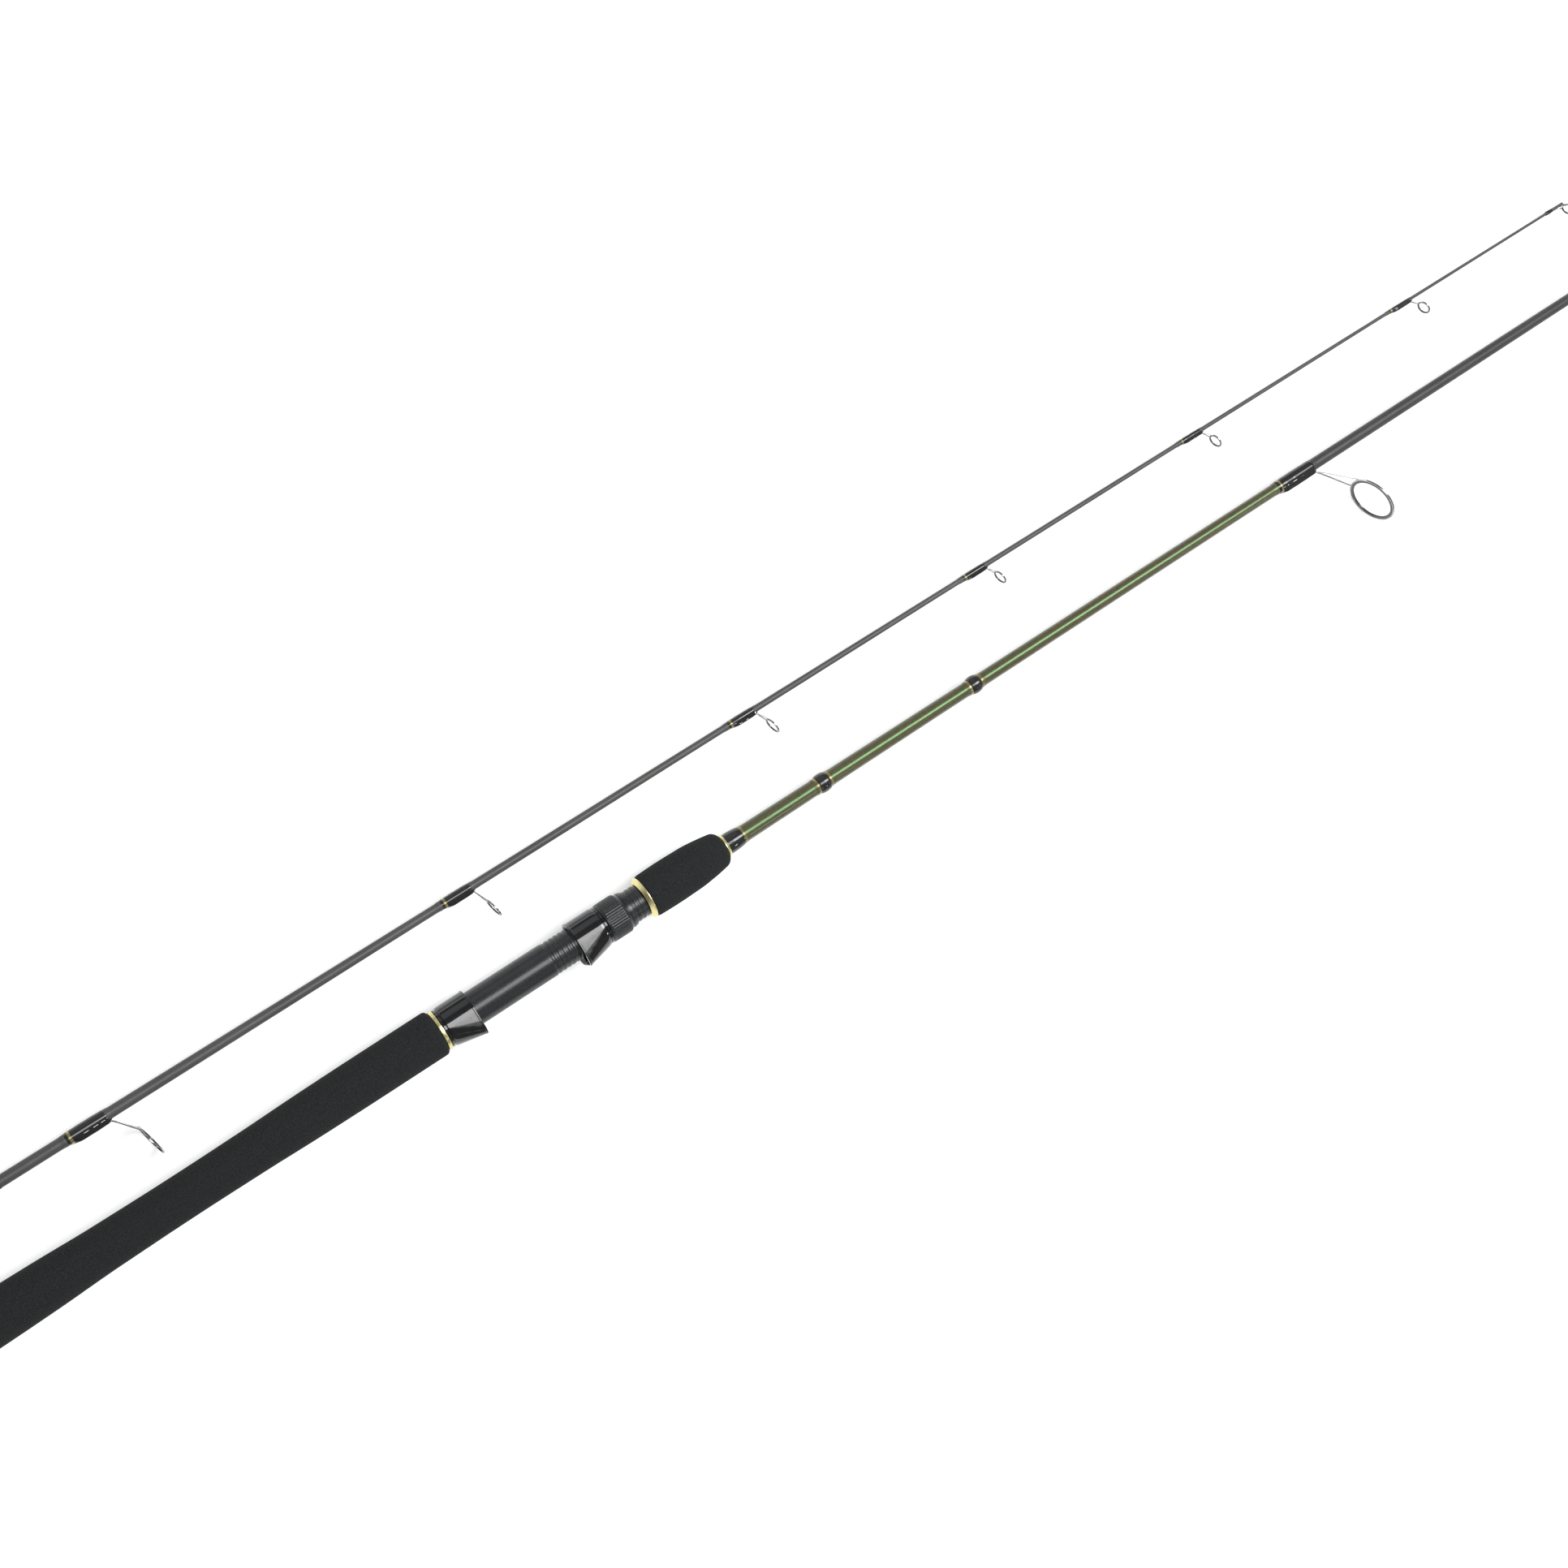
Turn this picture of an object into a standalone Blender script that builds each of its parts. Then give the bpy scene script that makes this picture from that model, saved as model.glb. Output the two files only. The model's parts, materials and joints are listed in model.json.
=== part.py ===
"""Two-piece spinning rod: a butt section with a reel seat, and a tip section that lies beside it.

Metres, +Z up. The butt section's centre line is the X axis, from the flat end of the butt cap at
the origin towards the front. All line guides stand out towards -Y, and so does the reel's side of
the reel seat. The tip section lies along +Y of the butt section, parallel to it, and both rest on
one level surface.
"""
import math

import bmesh
import bpy
from mathutils import Vector

# Sections and their joint. The ferrule sleeve takes the front of the butt blank.
SECTION_LENGTH = 1.2515
FERRULE_DEPTH = 0.065
FERRULE_SLEEVE_LENGTH = 0.0805
SECTION_SPACING = 0.0571
FIT = 0.00006                 # radial clearance of a piece on the blank
GRIP_FIT = 0.0001
SLIDE_FIT = 0.0001            # radial clearance of the hoods and the nut on the barrel
JOINT_GAP = 0.0001            # end gap between pieces that follow each other along the blank

# Blank radii along each section: (distance from its rear end, radius)
BUTT_TAPER = [(0.0, 0.0065), (0.50, 0.0052), (0.60, 0.0047), (0.70, 0.00435), (0.93, 0.0039),
              (SECTION_LENGTH - FERRULE_DEPTH, 0.00355), (SECTION_LENGTH, 0.00335)]
TIP_TAPER = [(0.0, 0.0034), (0.10, 0.00325), (0.32, 0.0026), (0.52, 0.0021), (0.69, 0.0017),
             (0.86, 0.00145), (1.04, 0.00115), (SECTION_LENGTH, 0.00085)]
BUTT_WALL = 0.0011
TIP_WALL = 0.0008
TIP_BORE_END = 0.80           # the tip blank is solid ahead of this
FERRULE_WALL = 0.0009
FERRULE_SHOULDER = 0.0012     # from the socket's end to the tip blank's seat in the sleeve
FERRULE_WINDING_START = 0.0015
FERRULE_WINDING_LENGTH = 0.0180
FERRULE_WINDING_COAT = 0.0005

# Butt section, distances from the butt end
CAP_LENGTH = 0.012
CAP_RADIUS = 0.0146
CAP_FLOOR = 0.0030
BLANK_START = 0.0035          # rear end of the butt blank, inside the cap
REAR_GRIP_END = 0.3070
REAR_GRIP_SHAPE = [(0.0, 0.0143), (0.030, 0.0141), (0.060, 0.0136), (0.095, 0.0125),
                   (0.140, 0.0121), (0.180, 0.0124), (0.215, 0.0131), (0.250, 0.0134),
                   (0.291, 0.0135), (0.2942, 0.0128)]
SEAT_START = 0.3098
SEAT_END = 0.4420
BARREL_RADIUS = 0.0102
BARREL_BORE = 0.0080
ARBOR_RADIUS = 0.0079
FOOT_BED = 0.0098             # distance of the flat that the reel's foot lies on from the axis
THREAD_CREST = 0.0098
THREAD_ROOT = 0.0092
THREAD_PITCH = 0.003
THREAD_START = 0.3800
RELIEF_RADIUS = 0.0096        # grooves that end the foot bed, under the fixed hood and at the thread
BED_START = 0.3288
HOOD_LENGTH = 0.0195
POCKET_FLOOR = 0.0040         # thickness of the closed end of a hood's pocket
HOOD_RADIUS = 0.0122
POCKET_TOP = 0.0150           # outside of the hoods over the reel's foot, at their mouths
POCKET_HALF_WIDTH = 0.0105
POCKET_CORNER = 0.0045
POCKET_WALL = 0.0010
FOOT_HALF_WIDTH = 0.0062      # inside of the pockets
FOOT_CORNER = 0.0020
MOVING_HOOD_START = 0.3965
HOOD_BACK_TRAVEL = 0.0155
HOOD_FRONT_TRAVEL = 0.008
NUT_START = MOVING_HOOD_START + HOOD_LENGTH + 0.0002
NUT_RIB_LENGTH = 0.0133
NUT_LENGTH = 0.0173
NUT_RADIUS = 0.0120
NUT_COLLAR_RADIUS = 0.0112
NUT_END_RADIUS = 0.0102
NUT_FLUTES = 24
FLUTE_DEPTH = 0.0005
REAR_CHECK_RADIUS = 0.0119
FRONT_CHECK_RADII = (0.0107, 0.0129)
FRONT_CHECK_END = 0.4451
FORE_GRIP_END = 0.4990
FORE_GRIP_SHAPE = [(0.0, 0.0127), (0.0015, 0.0131), (0.016, 0.0134), (0.030, 0.0131),
                   (0.040, 0.0120), (0.050, 0.0104), (0.0530, 0.0100), (0.0537, 0.0094)]
WINDING_CHECK_RADIUS = 0.0075
WINDING_CHECK_END = 0.5011
GRIP_WINDING_END = 0.5118
ACCENT_WINDINGS = {"middle_winding": 0.5658, "front_winding": 0.6808}
ACCENT_LENGTH = 0.0106
ARBOR_STARTS = {"rear_arbor": 0.3125, "middle_arbor": 0.3600, "front_arbor": 0.4200}
ARBOR_LENGTH = 0.018

# Line guides: front end of the foot from the section's rear end, how far ahead of it the ring's
# centre stands, height of that centre from the axis, outer diameter, and length of the winding
GUIDES = {
    "guide_1": (0.9686, 0.0284, 0.0404, 0.0338, 0.0326),
    "guide_2": (0.1418, 0.0114, 0.0235, 0.0196, 0.0244),
    "guide_3": (0.3653, 0.0047, 0.0167, 0.0123, 0.0206),
    "guide_4": (0.5605, 0.0047, 0.0137, 0.0110, 0.0206),
    "guide_5": (0.7355, 0.0050, 0.0112, 0.0098, 0.0193),
    "guide_6": (0.9142, 0.0058, 0.0109, 0.0098, 0.0199),
    "guide_7": (1.1030, 0.0072, 0.0097, 0.0098, 0.0210),
}
RING_LEAN = math.radians(12)
LEG_SPREAD = math.radians(26)  # where the two legs meet the ring, from its point nearest the blank
TIP_TUBE_LENGTH = 0.010
TIP_TUBE_WALL = 0.00035
TIP_TUBE_NOSE = 0.0012        # how far the tube's closed nose stands ahead of the blank
TIP_RING = (0.0026, 0.0049, 0.0084)  # ring centre ahead of the blank, its height, and diameter
TIP_STAY_SPREAD = math.radians(62)
TIP_STAY_WIDTH = 0.0006
TIP_WINDING_LENGTH = 0.0060

# Thread windings under their coat of resin
WINDING_COAT = 0.00038
WINDING_EDGE_COAT = 0.0002
ACCENT_COAT = 0.0009
ACCENT_EDGE_COAT = 0.0004
TRIM_START = 0.0026
TRIM_LENGTH = 0.0016
TRIM_COAT = 0.00015
BAND_COAT = 0.00035
RAMP_START = 0.0050           # where a guide's winding starts to climb on to the foot
RAMP_END = 0.0088
BARE_FOOT = 0.0100            # how much shorter than its winding a guide's foot is

BUTT_SIDES = 20               # facets round the pieces of the butt section
TIP_SIDES = 14                # facets round the pieces of the slender tip section
HANDLE_SIDES = 24             # facets round the reel seat and grips
REST_PLANE = -GUIDES["guide_1"][3] / 2
TIP_AXIS_HEIGHT = REST_PLANE + GUIDES["guide_2"][3] / 2

# Colour, roughness, metallic
FINISHES = {
    "graphite": ((0.055, 0.055, 0.060, 1), 0.35, 0.3),
    "green_lacquer": ((0.05, 0.22, 0.06, 1), 0.22, 0.7),
    "foam": ((0.020, 0.021, 0.021, 1), 0.95, 0.0),
    "rubber": ((0.018, 0.018, 0.018, 1), 0.8, 0.0),
    "seat_plastic": ((0.035, 0.036, 0.040, 1), 0.35, 0.0),
    "gloss_black": ((0.010, 0.010, 0.011, 1), 0.08, 0.0),
    "gold": ((0.65, 0.50, 0.16, 1), 0.25, 1.0),
    "gold_thread": ((0.58, 0.45, 0.15, 1), 0.35, 0.6),
    "winding": ((0.010, 0.010, 0.010, 1), 0.06, 0.0),
    "steel": ((0.60, 0.60, 0.60, 1), 0.22, 1.0),
    "ceramic": ((0.030, 0.030, 0.032, 1), 0.12, 0.0),
    "arbor_foam": ((0.75, 0.72, 0.62, 1), 0.9, 0.0),
}


def clear_scene():
    for item in list(bpy.data.objects):
        bpy.data.objects.remove(item)


def finish_material(finish):
    """The material of one finish, made when it is first asked for."""
    found = bpy.data.materials.get(finish)
    if found:
        return found
    colour, roughness, metallic = FINISHES[finish]
    made = bpy.data.materials.new(finish)
    made.use_nodes = True
    shader = made.node_tree.nodes["Principled BSDF"]
    shader.inputs["Base Color"].default_value = colour
    shader.inputs["Roughness"].default_value = roughness
    shader.inputs["Metallic"].default_value = metallic
    return made


def empty(name, location, parent=None):
    made = bpy.data.objects.new(name, None)
    made.location = location
    made.parent = parent
    bpy.context.collection.objects.link(made)
    return made


def add_object(name, bm, finish, parent, location=(0, 0, 0)):
    """Turn a bmesh into a smooth-shaded object with its faces pointing out."""
    bmesh.ops.recalc_face_normals(bm, faces=bm.faces)
    mesh = bpy.data.meshes.new(name)
    bm.to_mesh(mesh)
    bm.free()
    mesh.shade_smooth()
    mesh.set_sharp_from_angle(angle=math.radians(35))
    mesh.materials.append(finish_material(finish))
    made = bpy.data.objects.new(name, mesh)
    made.parent = parent
    made.location = location
    bpy.context.collection.objects.link(made)
    return made


def taper(stations, x):
    """Radius at x on a line of (x, radius) stations."""
    for (x0, r0), (x1, r1) in zip(stations, stations[1:]):
        if x <= x1:
            return r0 + (r1 - r0) * (x - x0) / (x1 - x0)
    return stations[-1][1]


def outline(radius, sides, nose=None, limit=None):
    """A closed outline in Y and Z: a circle on the axis, or its hull with a nose on the -Y side.

    nose is (top, half width, corner radius) of a flat-topped, round-cornered bar. Corners next to
    where the circle and the nose meet stay on the circle, so the outline always clears it. limit
    cuts the outline flat at that distance from the axis on the -Y side.
    """
    top, half_width, corner = nose or (0.0, 0.0, 0.0)
    reach, spread = top - corner, half_width - corner
    points = []
    for step in range(sides):
        angle = 2 * math.pi * step / sides
        off_nose = min(angle, 2 * math.pi - angle) + math.pi / sides
        out, across = radius * math.cos(angle), radius * math.sin(angle)
        if reach * math.cos(off_nose) + spread * math.sin(off_nose) + corner > radius:
            side = (step > 0) - 2 * (step > sides / 2)
            out = reach + corner * math.cos(angle)
            across = side * spread + corner * math.sin(angle)
        if limit is not None:
            out = min(out, limit)
        points.append((-out, across))
    return points


def skin(loops, hollow):
    """Join outlines, each (x, points), into a bmesh: a tube if hollow, else capped at both ends."""
    bm = bmesh.new()
    rings = [[bm.verts.new((x, y, z)) for y, z in points] for x, points in loops]
    pairs = list(zip(rings, rings[1:]))
    if hollow:
        pairs.append((rings[-1], rings[0]))
    else:
        bm.faces.new(rings[0])
        bm.faces.new(rings[-1])
    for a, b in pairs:
        for i in range(len(a)):
            j = (i + 1) % len(a)
            bm.faces.new((a[i], a[j], b[j], b[i]))
    return bm


def turned(name, finish, parent, x, outer, inner, sides):
    """A turned piece at x. outer and inner run front-wards as (distance, radius) stations."""
    loops = [(d, outline(r, sides)) for d, r in outer]
    loops += [(d, outline(r, sides)) for d, r in reversed(inner)]
    return add_object(name, skin(loops, bool(inner)), finish, parent, (x, 0, 0))


def bored_on(blank, x, length, clearance=FIT):
    """Inner stations of a piece on a blank, following its taper over the piece's length."""
    stations = [x, *(s for s, _ in blank if x < s < x + length), x + length]
    return [(s - x, taper(blank, s) + clearance) for s in stations]


def union(name, finish, parent, location, shapes):
    """One solid from several closed bmeshes, joined by Boolean unions."""
    base, *others = [add_object(name, bm, finish, parent, location) for bm in shapes]
    for other in others:
        join = base.modifiers.new("join", "BOOLEAN")
        join.operation = "UNION"
        join.solver = "EXACT"
        join.object = other
    bpy.context.view_layer.update()
    solid = base.evaluated_get(bpy.context.evaluated_depsgraph_get())
    joined = bpy.data.meshes.new_from_object(solid)
    base.modifiers.clear()
    base.data = joined
    for other in others:
        bpy.data.objects.remove(other)
    base.name = name
    return base


def bar(start, end, width, thickness):
    """A straight rectangular bar between two points, wide across the guide's plane."""
    along = (end - start).normalized()
    side = Vector((0, 0, 1))
    side = (side - along * side.dot(along)).normalized()
    up = along.cross(side)
    bm = bmesh.new()
    rings = []
    for centre in (start, end):
        corners = [(-1, -1), (1, -1), (1, 1), (-1, 1)]
        spots = [centre + side * (a * width / 2) + up * (b * thickness / 2) for a, b in corners]
        rings.append([bm.verts.new(spot) for spot in spots])
    bm.faces.new(rings[0])
    bm.faces.new(rings[1])
    for i in range(4):
        j = (i + 1) % 4
        bm.faces.new((rings[0][i], rings[0][j], rings[1][j], rings[1][i]))
    return bm


class Ring:
    """Placement of a leaning ring: its centre, and its axes outwards, sideways and along."""

    def __init__(self, forward, height, diameter):
        self.centre = Vector((forward, -height, 0))
        self.radius = diameter / 2
        self.band = 0.0004 + 0.022 * diameter
        self.width = 0.0011 + 0.035 * diameter
        self.insert = 0.0006 + 0.045 * diameter
        self.out = Vector((math.sin(RING_LEAN), -math.cos(RING_LEAN), 0))
        self.side = Vector((0, 0, 1))
        self.along = Vector((math.cos(RING_LEAN), math.sin(RING_LEAN), 0))
        self.sides = 32 if diameter > 0.03 else 20

    def spot(self, angle, radius, along=0.0):
        """A point at an angle from the place nearest the blank."""
        flat = self.side * math.sin(angle) - self.out * math.cos(angle)
        return self.centre + flat * radius + self.along * along

    def swept(self, section):
        """Sweep a closed section of (radius, along) points round the ring."""
        bm = bmesh.new()
        rings = []
        for step in range(self.sides):
            angle = 2 * math.pi * step / self.sides
            rings.append([bm.verts.new(self.spot(angle, r, a)) for r, a in section])
        for i, ring in enumerate(rings):
            after = rings[(i + 1) % self.sides]
            for j in range(len(section)):
                k = (j + 1) % len(section)
                bm.faces.new((ring[j], ring[k], after[k], after[j]))
        return bm

    def band_section(self):
        outer, inner, half = self.radius, self.radius - self.band, self.width / 2
        return [(outer, -half), (outer, half), (inner, half), (inner, -half)]

    def insert_section(self):
        """A low hexagon, rounded towards the line."""
        outer = self.radius - self.band - 0.00008
        inner, half = outer - self.insert, 0.42 * self.width
        middle = outer - 0.55 * self.insert
        return [(outer, -half), (outer, half), (middle, 1.2 * half), (inner, 0.4 * half),
                (inner, -0.4 * half), (middle, -1.2 * half)]


def foot_size(blank_radius, diameter):
    """Half width and thickness of a guide's foot, and the distance of its middle from the axis."""
    half_width = 0.0006 + 0.035 * diameter
    thickness = 0.0005 + 0.012 * diameter
    return half_width, thickness, blank_radius + FIT + thickness / 2 + 0.00004


def winding(name, parent, blank, x, length, foot, sides):
    """A thread winding over a guide's foot, with a trim band round it near its rear end."""
    half_width, thickness, middle = foot
    corner, lift = 0.0003, 0.0002
    inside_lead = 0.0004          # the inside starts to climb this much before the outside

    def at(d, coat, covered, inside=False):
        radius = taper(blank, x + d) + (FIT if inside else coat)
        over = lift if inside else lift + coat
        nose = (middle + thickness / 2 + over, half_width + over, corner + over)
        return (d, outline(radius, sides, nose if covered else None))

    outer = [at(0, WINDING_EDGE_COAT, False), at(0.0007, WINDING_COAT, False),
             at(RAMP_START, WINDING_COAT, False), at(RAMP_END, WINDING_COAT, True),
             at(length, WINDING_COAT, True)]
    inner = [at(0, 0, False, True), at(RAMP_START - inside_lead, 0, False, True),
             at(RAMP_END - inside_lead, 0, True, True), at(length, 0, True, True)]
    add_object(name + "_winding", skin(outer + inner[::-1], True), "winding", parent, (x, 0, 0))
    trim_x = x + TRIM_START
    bore = bored_on(blank, trim_x, TRIM_LENGTH, WINDING_COAT + FIT)
    coat = [(d, r + TRIM_COAT) for d, r in bore]
    turned(name + "_trim", "gold_thread", parent, trim_x, coat, bore, sides)


def line_guide(name, parent, blank, sides):
    """One line guide: frame with foot, two legs and ring band; ceramic insert; winding and trim."""
    front, forward, height, diameter, length = GUIDES[name]
    foot = foot_size(taper(blank, front - length), diameter)
    half_width, thickness, middle = foot
    ring = Ring(forward, height, diameter)
    foot_length = length - BARE_FOOT
    foot_end = Vector((1.5 * thickness, -middle, 0))
    shapes = [ring.swept(ring.band_section()),
              bar(Vector((-foot_length, -middle, 0)), foot_end, 2 * half_width, thickness)]
    for sign in (-1, 1):
        start = Vector((thickness, -middle, sign * half_width * 0.45))
        end = ring.spot(sign * LEG_SPREAD, ring.radius - ring.band * 0.5)
        shapes.append(bar(start, end, half_width * 1.05, thickness * 1.05))
    union(name + "_frame", "steel", parent, (front, 0, 0), shapes)
    add_object(name + "_ring", ring.swept(ring.insert_section()), "ceramic", parent, (front, 0, 0))
    winding(name, parent, blank, front - length, length, foot, sides)


def tip_top(parent):
    """The end guide: a tube on the tip of the blank, with a ring in front and two stays."""
    place = (SECTION_LENGTH, 0, 0)
    bore = taper(TIP_TAPER, SECTION_LENGTH - TIP_TUBE_LENGTH) + FIT
    outside = bore + TIP_TUBE_WALL
    ring = Ring(*TIP_RING)
    rear = -TIP_TUBE_LENGTH
    tube = [(x, outline(outside, TIP_SIDES)) for x in (rear, TIP_TUBE_NOSE)]
    shapes = [skin(tube, False), ring.swept(ring.band_section())]
    for sign in (-1, 1):
        start = Vector((rear * 0.55, -outside * 0.75, sign * outside * 0.4))
        end = ring.spot(sign * TIP_STAY_SPREAD, ring.radius - ring.band * 0.5)
        shapes.append(bar(start, end, TIP_STAY_WIDTH, TIP_STAY_WIDTH))
    frame = union("tip_top_frame", "steel", parent, place, shapes)
    socket = [(x, outline(bore, TIP_SIDES)) for x in (rear - 0.001, 0.0002)]
    drill = add_object("tip_top_drill", skin(socket, False), "steel", parent, place)
    drill.hide_render = True
    drill.display_type = "WIRE"
    cut = frame.modifiers.new("bore", "BOOLEAN")
    cut.operation = "DIFFERENCE"
    cut.solver = "EXACT"
    cut.object = drill
    add_object("tip_top_ring", ring.swept(ring.insert_section()), "ceramic", parent, place)
    length = TIP_WINDING_LENGTH
    x = SECTION_LENGTH - TIP_TUBE_LENGTH - 0.0002 - length
    coats = [(0, 0.0002), (0.0006, 0.0004), (length - 0.0006, 0.0005), (length, 0.0004)]
    outer = [(d, taper(TIP_TAPER, x + d) + coat) for d, coat in coats]
    turned("tip_top_winding", "winding", parent, x, outer,
           bored_on(TIP_TAPER, x, length), TIP_SIDES)


def grips(parent):
    """The two foam grips, and the rubber cap that closes the butt."""
    for name, start, shape in (("rear_grip", CAP_LENGTH + 3 * JOINT_GAP, REAR_GRIP_SHAPE),
                               ("fore_grip", FRONT_CHECK_END + 2 * JOINT_GAP, FORE_GRIP_SHAPE)):
        bore = bored_on(BUTT_TAPER, start, shape[-1][0], GRIP_FIT)
        turned(name, "foam", parent, start, shape, bore, HANDLE_SIDES)
    cap = [(0.0, CAP_RADIUS - 0.0016), (0.0005, CAP_RADIUS - 0.0007), (0.0018, CAP_RADIUS),
           (CAP_LENGTH - 0.001, CAP_RADIUS), (CAP_LENGTH, CAP_RADIUS - 0.0006)]
    bore = taper(BUTT_TAPER, 0) + GRIP_FIT
    pocket = [(CAP_FLOOR, bore), (CAP_LENGTH, bore)]
    loops = [(d, outline(r, HANDLE_SIDES)) for d, r in cap + pocket[::-1]]
    add_object("butt_cap", skin(loops, False), "rubber", parent)


def rounded(rear_radius, front_radius, width):
    """Stations of a ring with its two outer edges broken."""
    edge = 0.0003
    return [(0, rear_radius - edge), (edge, rear_radius), (width - edge, front_radius),
            (width, front_radius - edge)]


def checks(parent):
    """The gold rings that end the grips."""
    start = REAR_GRIP_END + JOINT_GAP * 3
    width = SEAT_START - JOINT_GAP * 3 - start
    turned("rear_check", "gold", parent, start,
           rounded(REAR_CHECK_RADIUS, REAR_CHECK_RADIUS, width),
           bored_on(BUTT_TAPER, start, width), HANDLE_SIDES)
    start = SEAT_END + JOINT_GAP * 3
    width = FRONT_CHECK_END - start
    turned("front_check", "gold", parent, start,
           rounded(*FRONT_CHECK_RADII, width),
           bored_on(BUTT_TAPER, start, width), HANDLE_SIDES)
    start = FORE_GRIP_END + JOINT_GAP * 3
    width = WINDING_CHECK_END - start
    turned("winding_check", "gold", parent, start,
           rounded(WINDING_CHECK_RADIUS, WINDING_CHECK_RADIUS, width),
           bored_on(BUTT_TAPER, start, width), HANDLE_SIDES)


def reel_seat(butt):
    """Barrel, fixed hood, arbors, and the sliding hood with its lock nut."""
    sides = HANDLE_SIDES
    edge, groove = 0.0003, 0.0010
    loops = [(SEAT_START + edge, BARREL_RADIUS - edge), (SEAT_START + 2 * edge, BARREL_RADIUS),
             (BED_START - groove, BARREL_RADIUS), (BED_START - groove, RELIEF_RADIUS),
             (BED_START, RELIEF_RADIUS), (BED_START, BARREL_RADIUS),
             (THREAD_START - groove, BARREL_RADIUS), (THREAD_START - groove, RELIEF_RADIUS),
             (THREAD_START, RELIEF_RADIUS)]
    for turn in range(int((SEAT_END - THREAD_START) / THREAD_PITCH)):
        x = THREAD_START + turn * THREAD_PITCH
        loops += [(x, THREAD_ROOT), (x + THREAD_PITCH / 2, THREAD_CREST)]
    loops.append((SEAT_END, THREAD_ROOT))
    outside = [(x, outline(r, sides, limit=FOOT_BED)) for x, r in loops]
    inside = [(x, outline(BARREL_BORE, sides)) for x in (SEAT_END, SEAT_START + edge)]
    add_object("reel_seat_barrel", skin(outside + inside, True), "seat_plastic", butt)
    for name, start in ARBOR_STARTS.items():
        turned(name, "arbor_foam", butt, start,
               [(0, ARBOR_RADIUS), (ARBOR_LENGTH, ARBOR_RADIUS)],
               bored_on(BUTT_TAPER, start, ARBOR_LENGTH), BUTT_SIDES)
    hood("fixed_hood", butt, (SEAT_START, 0, 0), BARREL_RADIUS + SLIDE_FIT, 1)
    carrier = empty("hood_carrier", (MOVING_HOOD_START, 0, 0), butt)
    hood("moving_hood", carrier, (0, 0, 0), THREAD_CREST + SLIDE_FIT, -1)
    lock_nut(carrier)


def hood(name, parent, location, bore, facing):
    """A hood with a pocket for one end of the reel's foot. facing +1 opens to the front.

    Its outside is round at the closed end, and swells towards -Y to the pocket's mouth.
    """
    sides = HANDLE_SIDES
    lip = 0.0009
    rim = HOOD_RADIUS + 0.0002

    def place(distance):
        return distance if facing > 0 else HOOD_LENGTH - distance

    def top(distance, radius):
        """How far the hood reaches on its pocket side, and how far the swell has come, 0 to 1."""
        part = min(1.0, distance / (HOOD_LENGTH - lip))
        rise = part * part * (3 - 2 * part)
        return radius + (POCKET_TOP - radius) * rise, rise

    def outside(distance, radius):
        reach, rise = top(distance, radius)
        half_width = POCKET_CORNER + (POCKET_HALF_WIDTH - POCKET_CORNER) * rise
        return (place(distance), outline(radius, sides, (reach, half_width, POCKET_CORNER)))

    def inside(distance, deep):
        roof = top(distance, HOOD_RADIUS)[0] - POCKET_WALL
        nose = (roof, FOOT_HALF_WIDTH, FOOT_CORNER)
        return (place(distance), outline(bore, sides, nose if deep else None))

    steps = [HOOD_LENGTH * part for part in (0.2, 0.4, 0.6, 0.8)]
    outer = [outside(0, HOOD_RADIUS - 0.0004), outside(0.0005, HOOD_RADIUS)]
    outer += [outside(distance, HOOD_RADIUS) for distance in steps]
    outer += [outside(HOOD_LENGTH - lip, HOOD_RADIUS), outside(HOOD_LENGTH - lip + 0.0003, rim),
              outside(HOOD_LENGTH, rim)]
    inner = [inside(distance, True) for distance in (HOOD_LENGTH, *steps[:0:-1])]
    inner += [inside(POCKET_FLOOR, False), inside(0, False)]
    add_object(name, skin(outer + inner, True), "gloss_black", parent, location)


def lock_nut(carrier):
    """Fluted nut behind the moving hood, running on the barrel's thread."""
    sides = 2 * NUT_FLUTES
    ribbed = []
    for step, (y, z) in enumerate(outline(1.0, sides)):
        radius = NUT_RADIUS - FLUTE_DEPTH * (step % 2)
        ribbed.append((y * radius, z * radius))
    outer = [(0, outline(NUT_RADIUS - 0.0007, sides)), (0.0006, ribbed),
             (NUT_RIB_LENGTH, ribbed),
             (NUT_RIB_LENGTH + 0.0005, outline(NUT_COLLAR_RADIUS, sides)),
             (NUT_LENGTH, outline(NUT_END_RADIUS, sides))]
    bore = THREAD_CREST + SLIDE_FIT
    inner = [(NUT_LENGTH, outline(bore, sides)), (0, outline(bore, sides))]
    start = NUT_START - MOVING_HOOD_START
    add_object("lock_nut", skin(outer + inner, True), "seat_plastic", carrier, (start, 0, 0))


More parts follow.
